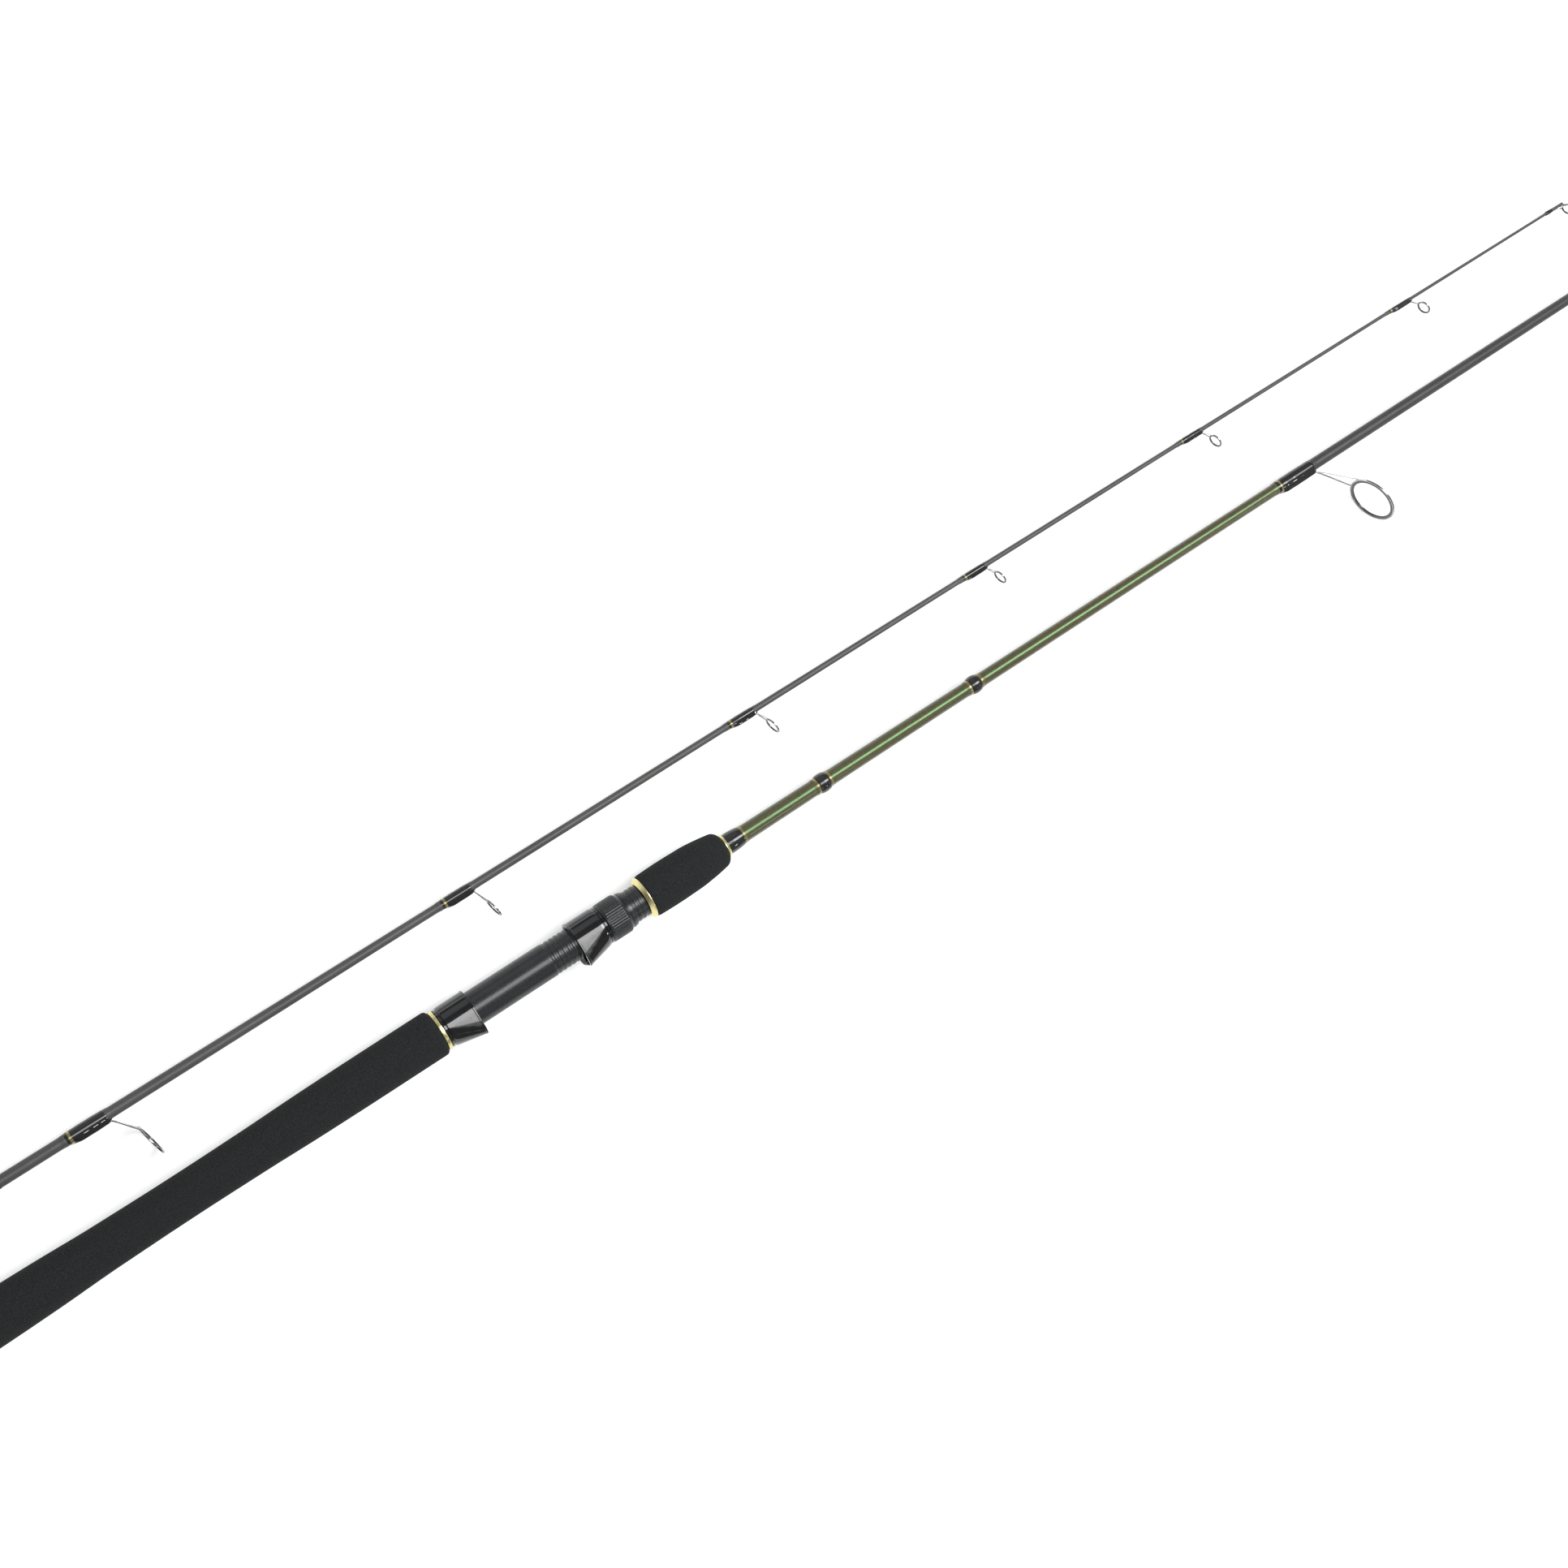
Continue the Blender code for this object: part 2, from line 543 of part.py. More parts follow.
def butt_windings(parent):
    """The winding in front of the fore grip, and two accents, each between gold trim bands."""
    start = WINDING_CHECK_END + JOINT_GAP
    length = GRIP_WINDING_END - start
    coats = [(0, 0.0008), (0.002, 0.0010), (length - 0.002, 0.0006),
             (length, WINDING_EDGE_COAT + 0.0001)]
    outer = [(d, taper(BUTT_TAPER, start + d) + coat) for d, coat in coats]
    turned("grip_winding", "winding", parent, start, outer,
           bored_on(BUTT_TAPER, start, length), BUTT_SIDES)
    trim_band("grip_winding_trim", parent, GRIP_WINDING_END + JOINT_GAP)
    for name, start in ACCENT_WINDINGS.items():
        trim_band(name + "_rear_trim", parent, start)
        x = start + TRIM_LENGTH + JOINT_GAP
        length = ACCENT_LENGTH - 2 * (TRIM_LENGTH + JOINT_GAP)
        coats = [(0, ACCENT_EDGE_COAT), (length * 0.3, ACCENT_COAT),
                 (length * 0.7, ACCENT_COAT), (length, ACCENT_EDGE_COAT)]
        outer = [(d, taper(BUTT_TAPER, x + d) + coat) for d, coat in coats]
        turned(name, "winding", parent, x, outer, bored_on(BUTT_TAPER, x, length), BUTT_SIDES)
        trim_band(name + "_front_trim", parent, x + length + JOINT_GAP)


def trim_band(name, parent, x):
    """A narrow band of gold thread on the butt blank."""
    coat = bored_on(BUTT_TAPER, x, TRIM_LENGTH, BAND_COAT)
    turned(name, "gold_thread", parent, x, coat, bored_on(BUTT_TAPER, x, TRIM_LENGTH), BUTT_SIDES)


def blanks(butt, tip):
    """The two hollow tapered blanks, the tip blank closed ahead of its bore."""
    outer = [(BLANK_START, taper(BUTT_TAPER, BLANK_START))] + BUTT_TAPER[1:]
    inner = [(x, r - BUTT_WALL) for x, r in outer]
    turned("butt_blank", "green_lacquer", butt, 0, outer, inner, BUTT_SIDES)
    start = FERRULE_DEPTH + FERRULE_SHOULDER + 0.0003
    outer = [(start, taper(TIP_TAPER, start))] + TIP_TAPER[1:]
    bore_stations = [station for station in outer if station[0] < TIP_BORE_END]
    bore = [(x, r - TIP_WALL) for x, r in bore_stations]
    loops = [(x, outline(r, TIP_SIDES)) for x, r in reversed(bore)]
    loops += [(x, outline(r, TIP_SIDES)) for x, r in outer]
    add_object("tip_blank", skin(loops, False), "graphite", tip)


def ferrule(tip):
    """The sleeve on the rear end of the tip section, with its winding and trim."""
    male = SECTION_LENGTH - FERRULE_DEPTH
    socket = [(0, taper(BUTT_TAPER, male) + FIT), (FERRULE_DEPTH, BUTT_TAPER[-1][1] + FIT)]
    outside = socket[0][1] + FERRULE_WALL
    shoulder = FERRULE_DEPTH + FERRULE_SHOULDER
    seat = bored_on(TIP_TAPER, shoulder, FERRULE_SLEEVE_LENGTH - shoulder)
    inner = socket + [(d + shoulder, r) for d, r in seat]
    outer = [(0, outside - 0.0002), (0.0004, outside), (FERRULE_DEPTH, outside - 0.0001),
             (FERRULE_SLEEVE_LENGTH, taper(TIP_TAPER, FERRULE_SLEEVE_LENGTH) + FIT + 0.0003)]
    turned("ferrule_sleeve", "graphite", tip, 0, outer, inner, TIP_SIDES)
    length, coat = FERRULE_WINDING_LENGTH, outside + FERRULE_WINDING_COAT
    coats = [(0, coat - 0.0003), (0.0008, coat), (length - 0.0008, coat), (length, coat - 0.0003)]
    bore = outside + FIT
    turned("ferrule_winding", "winding", tip, FERRULE_WINDING_START, coats,
           [(0, bore), (length, bore)], TIP_SIDES)
    turned("ferrule_winding_trim", "gold_thread", tip,
           FERRULE_WINDING_START + length + JOINT_GAP,
           [(0, coat - 0.0001), (TRIM_LENGTH, coat - 0.0001)],
           [(0, bore), (TRIM_LENGTH, bore)], TIP_SIDES)


def main():
    clear_scene()
    butt = empty("butt_section", (0, 0, 0))
    tip = empty("tip_section", (0, SECTION_SPACING, TIP_AXIS_HEIGHT))
    blanks(butt, tip)
    grips(butt)
    checks(butt)
    reel_seat(butt)
    butt_windings(butt)
    line_guide("guide_1", butt, BUTT_TAPER, BUTT_SIDES)
    ferrule(tip)
    for name in list(GUIDES)[1:]:
        line_guide(name, tip, TIP_TAPER, TIP_SIDES)
    tip_top(tip)


main()
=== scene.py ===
"""Looks of the two-piece spinning rod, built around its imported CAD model.

Metres, in the CAD's frame: the butt section's centre line is X, and all line guides stand out
towards -Y. A round or nearly round piece is a stack of polar sections. Their angle is 0 towards
-Y and grows towards +Z.
"""
import json
import math

import bpy
import numpy as np
from mathutils import Matrix, Vector


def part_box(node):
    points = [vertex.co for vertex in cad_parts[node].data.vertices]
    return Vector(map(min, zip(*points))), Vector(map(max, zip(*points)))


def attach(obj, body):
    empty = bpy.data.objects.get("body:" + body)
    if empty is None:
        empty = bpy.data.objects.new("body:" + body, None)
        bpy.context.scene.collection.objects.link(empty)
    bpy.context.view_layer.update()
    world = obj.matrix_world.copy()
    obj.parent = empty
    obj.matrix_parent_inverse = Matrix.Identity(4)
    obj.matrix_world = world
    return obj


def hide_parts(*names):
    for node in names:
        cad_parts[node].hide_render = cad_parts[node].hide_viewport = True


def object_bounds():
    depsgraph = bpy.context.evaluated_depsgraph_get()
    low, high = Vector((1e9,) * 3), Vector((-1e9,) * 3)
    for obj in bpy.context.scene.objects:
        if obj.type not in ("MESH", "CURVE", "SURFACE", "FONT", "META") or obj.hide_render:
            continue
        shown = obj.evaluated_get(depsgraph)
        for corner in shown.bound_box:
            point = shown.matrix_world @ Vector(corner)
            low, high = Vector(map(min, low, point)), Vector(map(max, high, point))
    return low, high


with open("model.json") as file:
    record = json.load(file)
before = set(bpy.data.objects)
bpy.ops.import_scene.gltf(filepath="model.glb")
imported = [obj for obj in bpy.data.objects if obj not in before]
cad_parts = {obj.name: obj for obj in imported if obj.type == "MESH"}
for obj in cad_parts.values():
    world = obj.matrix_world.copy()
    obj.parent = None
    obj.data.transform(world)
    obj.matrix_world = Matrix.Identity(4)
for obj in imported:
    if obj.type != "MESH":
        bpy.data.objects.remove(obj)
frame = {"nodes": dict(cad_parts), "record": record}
cad_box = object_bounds()

MM = 0.001
SLOTS = {part["node"]: part["material_slot"] for part in frame["record"]["subparts"]}
OWNERS = {node: body for body, nodes in frame["record"]["behaviour"]["bodies"].items()
          for node in nodes}


# ---------------------------------------------------------------- places read from the frame

def centre_of(node):
    low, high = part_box(node)
    return (low + high) / 2


def span(node):
    """Where a node starts and ends along X."""
    low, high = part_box(node)
    return low.x, high.x


BUTT_AXIS = (0.0, 0.0)
TIP_AXIS = (centre_of("tip_blank").y, centre_of("tip_blank").z)


def axis_of(body):
    """(y, z) of the centre line that a body's round pieces lie on."""
    return TIP_AXIS if body == "tip_section" else BUTT_AXIS


def profile(node, body, beyond=0.0):
    """A node's outside: (distance along X, largest radius) wherever it is wider than beyond."""
    y, z = axis_of(body)
    found = {}
    for vertex in frame["nodes"][node].data.vertices:
        radius = math.hypot(vertex.co.y - y, vertex.co.z - z)
        if radius > beyond:
            x = round(vertex.co.x, 5)
            found[x] = max(found.get(x, 0.0), radius)
    return sorted(found.items())


def curve(stations, places):
    """Radii at places on a smooth curve through stations that never overshoots them."""
    x, r = np.array(stations).T
    gaps = np.diff(x)
    slopes = np.diff(r) / gaps
    tangents = np.concatenate([[slopes[0]], slopes[:-1] * 0, [slopes[-1]]])
    same = slopes[:-1] * slopes[1:] > 0
    mean = 2 * slopes[:-1] * slopes[1:] / np.where(same, slopes[:-1] + slopes[1:], 1)
    tangents[1:-1] = np.where(same, mean, 0)
    places = np.clip(np.asarray(places, float), x[0], x[-1])
    i = np.clip(np.searchsorted(x, places, side="right") - 1, 0, len(gaps) - 1)
    t = (places - x[i]) / gaps[i]
    return ((1 + 2 * t) * (1 - t) ** 2 * r[i] + t * t * (3 - 2 * t) * r[i + 1]
            + gaps[i] * (t * (1 - t) ** 2 * tangents[i] + t * t * (t - 1) * tangents[i + 1]))


# Each blank's stations, without the vertices of its bore.
BLANKS = {"butt_section": profile("butt_blank", "butt_section", 2.4 * MM),
          "tip_section": profile("tip_blank", "tip_section", 0.6 * MM)}


def blank_radius(body, x):
    return curve(BLANKS[body], x)


# ---------------------------------------------------------------- materials

def fill_sockets(node, sockets):
    """Set a node's sockets, named with underscores for spaces."""
    for name, value in sockets.items():
        node.inputs[name.replace("_", " ")].default_value = value


def new_material(name, colour, roughness, metallic=0.0, **sockets):
    """A Principled material with its uniform values on the shader's own sockets."""
    material = bpy.data.materials.new(name)
    material.use_nodes = True
    shader = material.node_tree.nodes["Principled BSDF"]
    fill_sockets(shader, {"Base_Color": (*colour, 1), "Roughness": roughness,
                          "Metallic": metallic, **sockets})
    return material


NOISE_SPAN = (0.3, 0.7)      # most of a noise's values lie between these


class Nodes:
    """Short ways to add the nodes of one material, in the piece's own coordinates."""

    def __init__(self, material):
        self.tree = material.node_tree
        self.shader = self.tree.nodes["Principled BSDF"]
        self.place = self.tree.nodes.new("ShaderNodeTexCoord").outputs["Object"]

    def add(self, kind, **sockets):
        node = self.tree.nodes.new(kind)
        fill_sockets(node, sockets)
        return node

    def link(self, start, end):
        self.tree.links.new(start, end)

    def stretched(self, scale):
        """The piece's coordinates, scaled differently along each axis."""
        mapping = self.add("ShaderNodeMapping", Scale=scale)
        self.link(self.place, mapping.inputs["Vector"])
        return mapping.outputs["Vector"]

    def noise(self, scale, detail=3.0, place=None):
        node = self.add("ShaderNodeTexNoise", Scale=scale, Detail=detail)
        self.link(place or self.place, node.inputs["Vector"])
        return node.outputs["Fac"]

    def cells(self, scale):
        node = self.add("ShaderNodeTexVoronoi", Scale=scale)
        self.link(self.place, node.inputs["Vector"])
        return node.outputs["Distance"]

    def wraps(self, pitch, wobble=0.0):
        """Bands round the X axis, one for each pitch: wound thread or turning marks."""
        node = self.add("ShaderNodeTexWave", Scale=math.pi / 10 / pitch, Distortion=wobble)
        node.bands_direction = "X"
        self.link(self.place, node.inputs["Vector"])
        return node.outputs["Fac"]

    def tint(self, value, dark, light, start=NOISE_SPAN[0], end=NOISE_SPAN[1]):
        """Colour the surface from dark to light as a value goes from start to end."""
        ramp = self.add("ShaderNodeValToRGB")
        stops = ramp.color_ramp.elements
        for stop, position, colour in ((stops[0], start, dark), (stops[1], end, light)):
            stop.position = position
            stop.color = (*colour, 1)
        self.link(value, ramp.inputs["Fac"])
        self.link(ramp.outputs["Color"], self.shader.inputs["Base Color"])

    def rough(self, value, low, high):
        """Take the roughness from low to high by a noise."""
        node = self.add("ShaderNodeMapRange", From_Min=NOISE_SPAN[0], From_Max=NOISE_SPAN[1],
                        To_Min=low, To_Max=high)
        self.link(value, node.inputs["Value"])
        self.link(node.outputs["Result"], self.shader.inputs["Roughness"])

    def relief(self, *layers, socket="Normal"):
        """Bump from (height value, depth in metres) layers, laid over each other."""
        under = None
        for height, depth in layers:
            node = self.add("ShaderNodeBump", Strength=1.0, Distance=depth)
            self.link(height, node.inputs["Height"])
            if under:
                self.link(under, node.inputs["Normal"])
            under = node.outputs["Normal"]
        self.link(under, self.shader.inputs[socket])


def foam():
    """Closed-cell grip foam: fine open pores, ground to shape, with a faint dusty sheen."""
    made = new_material("foam", (0.014, 0.0145, 0.015), 0.92, Specular_IOR_Level=0.25)
    n = Nodes(made)
    n.tint(n.noise(1400, 6), (0.008, 0.0085, 0.0088), (0.022, 0.023, 0.024), 0.3, 0.72)
    n.rough(n.noise(900), 0.85, 1.0)
    n.relief((n.cells(3300), 0.09 * MM), (n.noise(2600, 4), 0.08 * MM),
             (n.noise(600, 3), 0.07 * MM))
    return made


def butt_rubber():
    """Matt rubber with a fine grain."""
    made = new_material("butt_rubber", (0.016, 0.016, 0.017), 0.6, Specular_IOR_Level=0.4)
    n = Nodes(made)
    grain = n.noise(1800, 3)
    n.tint(n.noise(140, 3), (0.012, 0.012, 0.013), (0.022, 0.022, 0.023))
    n.rough(grain, 0.5, 0.7)
    n.relief((grain, 0.02 * MM))
    return made


def seat_plastic():
    """Moulded satin plastic, with the fine orange-peel of its mould."""
    made = new_material("seat_plastic", (0.017, 0.0185, 0.020), 0.28)
    n = Nodes(made)
    n.tint(n.noise(90, 3), (0.015, 0.0165, 0.018), (0.019, 0.0205, 0.022))
    n.rough(n.noise(700), 0.24, 0.32)
    n.relief((n.noise(1500, 2), 0.0015 * MM), (n.noise(350, 1), 0.006 * MM))
    return made


def gloss_black():
    """Polished moulded plastic with faint handling marks."""
    made = new_material("gloss_black", (0.004, 0.004, 0.0045), 0.12, Coat_Weight=0.6,
                        Coat_Roughness=0.03)
    n = Nodes(made)
    n.tint(n.noise(60, 2), (0.0035, 0.0035, 0.004), (0.006, 0.006, 0.0065))
    n.rough(n.noise(400, 3), 0.08, 0.16)
    n.relief((n.noise(160, 1), 0.010 * MM))
    return made


def gold():
    """Turned and anodised aluminium, with fine turning marks."""
    made = new_material("gold", (0.80, 0.72, 0.36), 0.3, 1.0, Anisotropic=0.3)
    n = Nodes(made)
    n.tint(n.noise(200, 3), (0.74, 0.66, 0.31), (0.86, 0.78, 0.41))
    n.rough(n.noise(900, 3, n.stretched((8.0, 1.0, 1.0))), 0.25, 0.38)
    n.relief((n.wraps(0.09 * MM, 0.4), 0.003 * MM))
    return made


def gold_thread():
    """Metallic thread, a few wraps side by side under clear resin."""
    made = new_material("gold_thread", (0.34, 0.29, 0.10), 0.32, 0.8, Coat_Weight=1.0,
                        Coat_Roughness=0.05)
    n = Nodes(made)
    wraps = n.wraps(0.32 * MM, 0.3)
    n.tint(wraps, (0.14, 0.11, 0.03), (0.42, 0.36, 0.13), 0.1, 0.8)
    n.rough(n.noise(2500, 2), 0.22, 0.4)
    n.relief((wraps, 0.05 * MM))
    return made


def winding():
    """Black nylon thread seen through a thick clear coat of resin."""
    made = new_material("winding", (0.006, 0.006, 0.006), 0.5, Coat_Weight=1.0,
                        Coat_Roughness=0.05, Specular_IOR_Level=0.25)
    n = Nodes(made)
    wraps = n.wraps(0.22 * MM, 0.5)
    n.tint(wraps, (0.003, 0.003, 0.003), (0.009, 0.009, 0.009), 0.1, 0.8)
    n.rough(n.noise(1500, 2), 0.42, 0.6)
    n.relief((wraps, 0.03 * MM))
    n.relief((n.noise(150, 1), 0.012 * MM), socket="Coat Normal")
    return made


def carbon(name, shade):
    """A carbon blank under thin satin varnish, with the faint ridges of its wrapping tape."""
    dark = (0.035 * shade, 0.036 * shade, 0.034 * shade)
    light = (0.047 * shade, 0.048 * shade, 0.046 * shade)
    made = new_material(name, light, 0.46)
    n = Nodes(made)
    n.tint(n.noise(26, 4, n.stretched((1.0, 0.1, 0.1))), dark, light)
    n.rough(n.noise(1200, 3, n.stretched((0.2, 1.0, 1.0))), 0.40, 0.52)
    n.relief((n.wraps(2.6 * MM, 0.6), 0.012 * MM), (n.noise(2200, 2), 0.004 * MM))
    return made


def graphite():
    return carbon("graphite", 0.92)


def tip_graphite():
    return carbon("tip_graphite", 1.45)


def green_lacquer():
    """Pearl lacquer: an olive-brown body whose flakes reflect green, under clear gloss."""
    made = new_material("green_lacquer", (0.074, 0.054, 0.036), 0.32, IOR=1.62,
                        Specular_Tint=(0.24, 1.0, 0.22, 1), Coat_Weight=0.4,
                        Coat_Roughness=0.2)
    n = Nodes(made)
    flakes = n.noise(5200, 2)
    n.tint(n.noise(420, 4), (0.068, 0.044, 0.032), (0.094, 0.060, 0.046))
    n.rough(flakes, 0.28, 0.36)
    n.relief((flakes, 0.003 * MM))
    n.relief((n.noise(120, 2), 0.01 * MM), socket="Coat Normal")
    return made


def steel():
    """Bent and polished stainless strip."""
    made = new_material("steel", (0.40, 0.39, 0.395), 0.2, 1.0)
    n = Nodes(made)
    n.tint(n.noise(300, 3), (0.35, 0.34, 0.345), (0.45, 0.44, 0.445))
    n.rough(n.noise(2000, 3, n.stretched((0.3, 1.0, 1.0))), 0.14, 0.28)
    n.relief((n.noise(1600, 2), 0.004 * MM))
    return made


def ceramic():
    """Dark polished guide ring."""
    made = new_material("ceramic", (0.034, 0.030, 0.032), 0.1, Specular_IOR_Level=0.6,
                        Coat_Weight=0.4, Coat_Roughness=0.02)
    n = Nodes(made)
    n.tint(n.noise(900, 3), (0.027, 0.024, 0.026), (0.041, 0.037, 0.039))
    n.rough(n.noise(1500, 2), 0.07, 0.16)
    n.relief((n.noise(2600, 2), 0.002 * MM))
    return made


def arbor_foam():
    """Rigid foam bushings that centre the reel seat on the blank."""
    made = new_material("arbor_foam", (0.72, 0.68, 0.58), 0.9)
    n = Nodes(made)
    grain = n.cells(2200)
    n.tint(grain, (0.52, 0.47, 0.38), (0.80, 0.76, 0.66), 0.1, 0.6)
    n.rough(n.noise(900), 0.8, 1.0)
    n.relief((grain, 0.12 * MM))
    return made


MATERIALS = {maker.__name__: maker() for maker in (
    foam, butt_rubber, seat_plastic, gloss_black, gold, gold_thread, winding, graphite,
    tip_graphite, green_lacquer, steel, ceramic, arbor_foam)}


# ---------------------------------------------------------------- polar shapes

def angles(sides):
    return 2 * math.pi * np.arange(sides) / sides


def smooth(t):
    """0 to 1 with level ends."""
    t = np.clip(t, 0.0, 1.0)
    return t * t * (3 - 2 * t)


NORMALS = np.linspace(-math.pi, math.pi, 721)
LEAST_LEAN = 0.1             # how much a side has to face a direction to bound it


def hull(radius, top, half_width, corner, sides, part=1.0, crown=0.0):
    """Polar radii of a circle wrapped together with a round-cornered nose towards -Y.

    part is how far the shape has grown, straight, from the bare circle to all of that, and
    crown is the height by which its flat sides are rounded off.
    """
    across = abs(np.sin(NORMALS))
    nose = (top - corner) * np.cos(NORMALS) + (half_width - corner) * across + corner
    more = nose - radius
    support = radius + part * (more + np.hypot(more, crown)) / 2
    lean = np.cos(NORMALS[None, :] - angles(sides)[:, None])
    return np.where(lean > LEAST_LEAN, support / np.maximum(lean, LEAST_LEAN), 1.0).min(axis=1)


def softened(points, closed=True, arc=5):
    """A line of (x, radius, fillet) corners with its corners rounded, as (x, radius) points."""
    line = []
    count = len(points)
    for i, (x, radius, fillet) in enumerate(points):
        here = Vector((x, radius))
        if not fillet or not (closed or 0 < i < count - 1):
            line.append(here)
            continue
        back = Vector(points[i - 1][:2]) - here
        ahead = Vector(points[(i + 1) % count][:2]) - here
        reach = min(fillet, 0.45 * back.length, 0.45 * ahead.length)
        rear, front = here + back.normalized() * reach, here + ahead.normalized() * reach
        line.append(rear + back.normalized() * min(0.5 * reach, 0.04 * back.length))
        for k in range(arc + 1):
            t = k / arc
            line.append(rear * (1 - t) ** 2 + here * (2 * t * (1 - t)) + front * t * t)
        line.append(front + ahead.normalized() * min(0.5 * reach, 0.04 * ahead.length))
    return np.array(line)


def skin(name, body, places, radii):
    """A mesh of polar sections that close on themselves, the last joined to the first.

    places has one distance along X for each section, and radii a row of radii.
    """
    radii = np.asarray(radii, float)
    rows, sides = radii.shape
    places = np.broadcast_to(np.asarray(places, float).reshape(rows, 1), (rows, sides))
    y, z = axis_of(body)
    phi = angles(sides)
    points = np.stack([places, y - radii * np.cos(phi), z + radii * np.sin(phi)], axis=-1)
    verts = [tuple(p) for p in points.reshape(-1, 3)]
    faces = []
    for i in range(rows):
        a, b = i * sides, ((i + 1) % rows) * sides
        faces += [(a + j, b + j, b + (j + 1) % sides, a + (j + 1) % sides) for j in range(sides)]
    mesh = bpy.data.meshes.new(name)
    mesh.from_pydata(verts, [], faces)
    return mesh


def place(name, mesh, body, node, slot=None):
    """Make a mesh the piece that stands for a CAD node and rides on its body."""
    slot = slot or SLOTS[node]
    mesh.shade_smooth()
    mesh.set_sharp_from_angle(angle=math.radians(50))
    mesh.materials.clear()
    mesh.materials.append(MATERIALS[slot])
    piece = bpy.data.objects.new(name, mesh)
    bpy.context.scene.collection.objects.link(piece)
    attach(piece, body)
    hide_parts(node)
    return piece


def turned(name, node, body, outline, sides, slot=None):
    """A turned piece from its closed outline of (x, radius, fillet) corners, outside first."""
    line = softened(outline)
    radii = np.repeat(line[:, 1:], sides, axis=1)
    return place(name, skin(name, body, line[:, 0], radii), body, node, slot)


def along(start, end, step):
    """Evenly spaced places from start to end, about a step apart."""
    return np.linspace(start, end, max(2, int(round((end - start) / step)) + 1))


# ---------------------------------------------------------------- blanks and ferrule

BUTT_SIDES = 64
TIP_SIDES = 48
BLANK_WALL = {"butt_section": 1.1 * MM, "tip_section": 0.8 * MM}
PAINT_END = centre_of("guide_1_winding").x
MENISCUS = 2.2 * MM          # how far resin runs out on to a blank from a winding
MENISCUS_DEPTH = 0.22 * MM   # and its thickness where it starts
CLEARANCE = 0.1 * MM         # between a blank and what is slid over it
THINNEST = 0.1 * MM          # bore radius left where a blank is nearly solid


def bands_on(body):
    """Rear and front end of each wound band on a section's blank, but for its two ends'."""
    return [span(node) for node, owner in OWNERS.items()
            if owner == body and node.endswith(("_winding", "_trim"))
            and not node.startswith(("ferrule", "tip_top"))]


def blank_surface(body, places):
    """Radius of a blank with the resin that runs out on to it from the windings' ends."""
    radius = blank_radius(body, places)
    swell = np.zeros(len(places))
    for start, end in bands_on(body):
        away = np.maximum(np.maximum(start - places, places - end), 0)
        swell = np.maximum(swell, MENISCUS_DEPTH * (1 - smooth(away / MENISCUS)))
    return radius + swell


def blank_places(body, start, end):
    """Places along a blank, closer together where resin swells it."""
    places = list(along(start, end, 10 * MM))
    for rear, front in bands_on(body):
        for edge, sign in ((rear, -1), (front, 1)):
            places += [edge + sign * MENISCUS * k / 8 for k in range(9)]
    return np.array(sorted({round(x, 6) for x in places if start <= x <= end}))


def blank_piece(name, node, body, start, end, slot, sides):
    """A length of hollow blank from start to end."""
    places = blank_places(body, start, end)
    outer = blank_surface(body, places)

    def bore(x):
        return max(blank_radius(body, [x])[0] - BLANK_WALL[body], THINNEST)

    outline = [(x, r, 0) for x, r in zip(places, outer)]
    outline[0] = (places[0], outer[0], 0.2 * MM)
    outline[-1] = (places[-1], outer[-1], 0.3 * MM)
    outline += [(x, bore(x), 0) for x in places[::-12]]
    outline.append((start, bore(start), 0.2 * MM))
    apart = [corner for last, corner in zip([(-1, -1)] + outline, outline)
             if abs(corner[0] - last[0]) + abs(corner[1] - last[1]) > 0.0001 * MM]
    return turned(name, node, body, apart, sides, slot)


def blanks():
    """Both sections' blanks; the butt's lacquer ends under the first guide's winding."""
    start, end = span("butt_blank")
    blank_piece("butt_blank_lacquered", "butt_blank", "butt_section", start, PAINT_END,
                "green_lacquer", BUTT_SIDES)
    blank_piece("butt_blank_bare", "butt_blank", "butt_section", PAINT_END, end,
                "graphite", BUTT_SIDES)
    start, end = span("tip_blank")
    tip = blank_piece("tip_blank_fine", "tip_blank", "tip_section", start, end,
                      "graphite", TIP_SIDES)
    tip.data.materials[0] = MATERIALS["tip_graphite"]


SOCKET_DEPTH = 65 * MM


def ferrule():
    """The sleeve that takes the front end of the butt section."""
    node, body = "ferrule_sleeve", "tip_section"
    start, end = span(node)
    step = start + SOCKET_DEPTH
    tip_radius = blank_radius(body, [end])[0]
    socket = blank_radius("butt_section", [span("butt_blank")[1]])[0] + CLEARANCE
    rim = profile(node, body, 3.7 * MM)[1][1]
    tucked = tip_radius - 0.05 * MM
    outline = [(start, rim - 0.05 * MM, 0.25 * MM)]
    outline += [(x, rim - 0.1 * MM * (x - start) / SOCKET_DEPTH, 0)
                for x in along(start + 2 * MM, 63 * MM, 8 * MM)]
    outline += [(end, tip_radius + 0.12 * MM, 0.1 * MM), (end, tucked, 0), (step, tucked, 0),
                (step, socket, 0), (start, socket + 0.15 * MM, 0.25 * MM)]
    turned("ferrule_sleeve_fine", node, body, outline, TIP_SIDES)


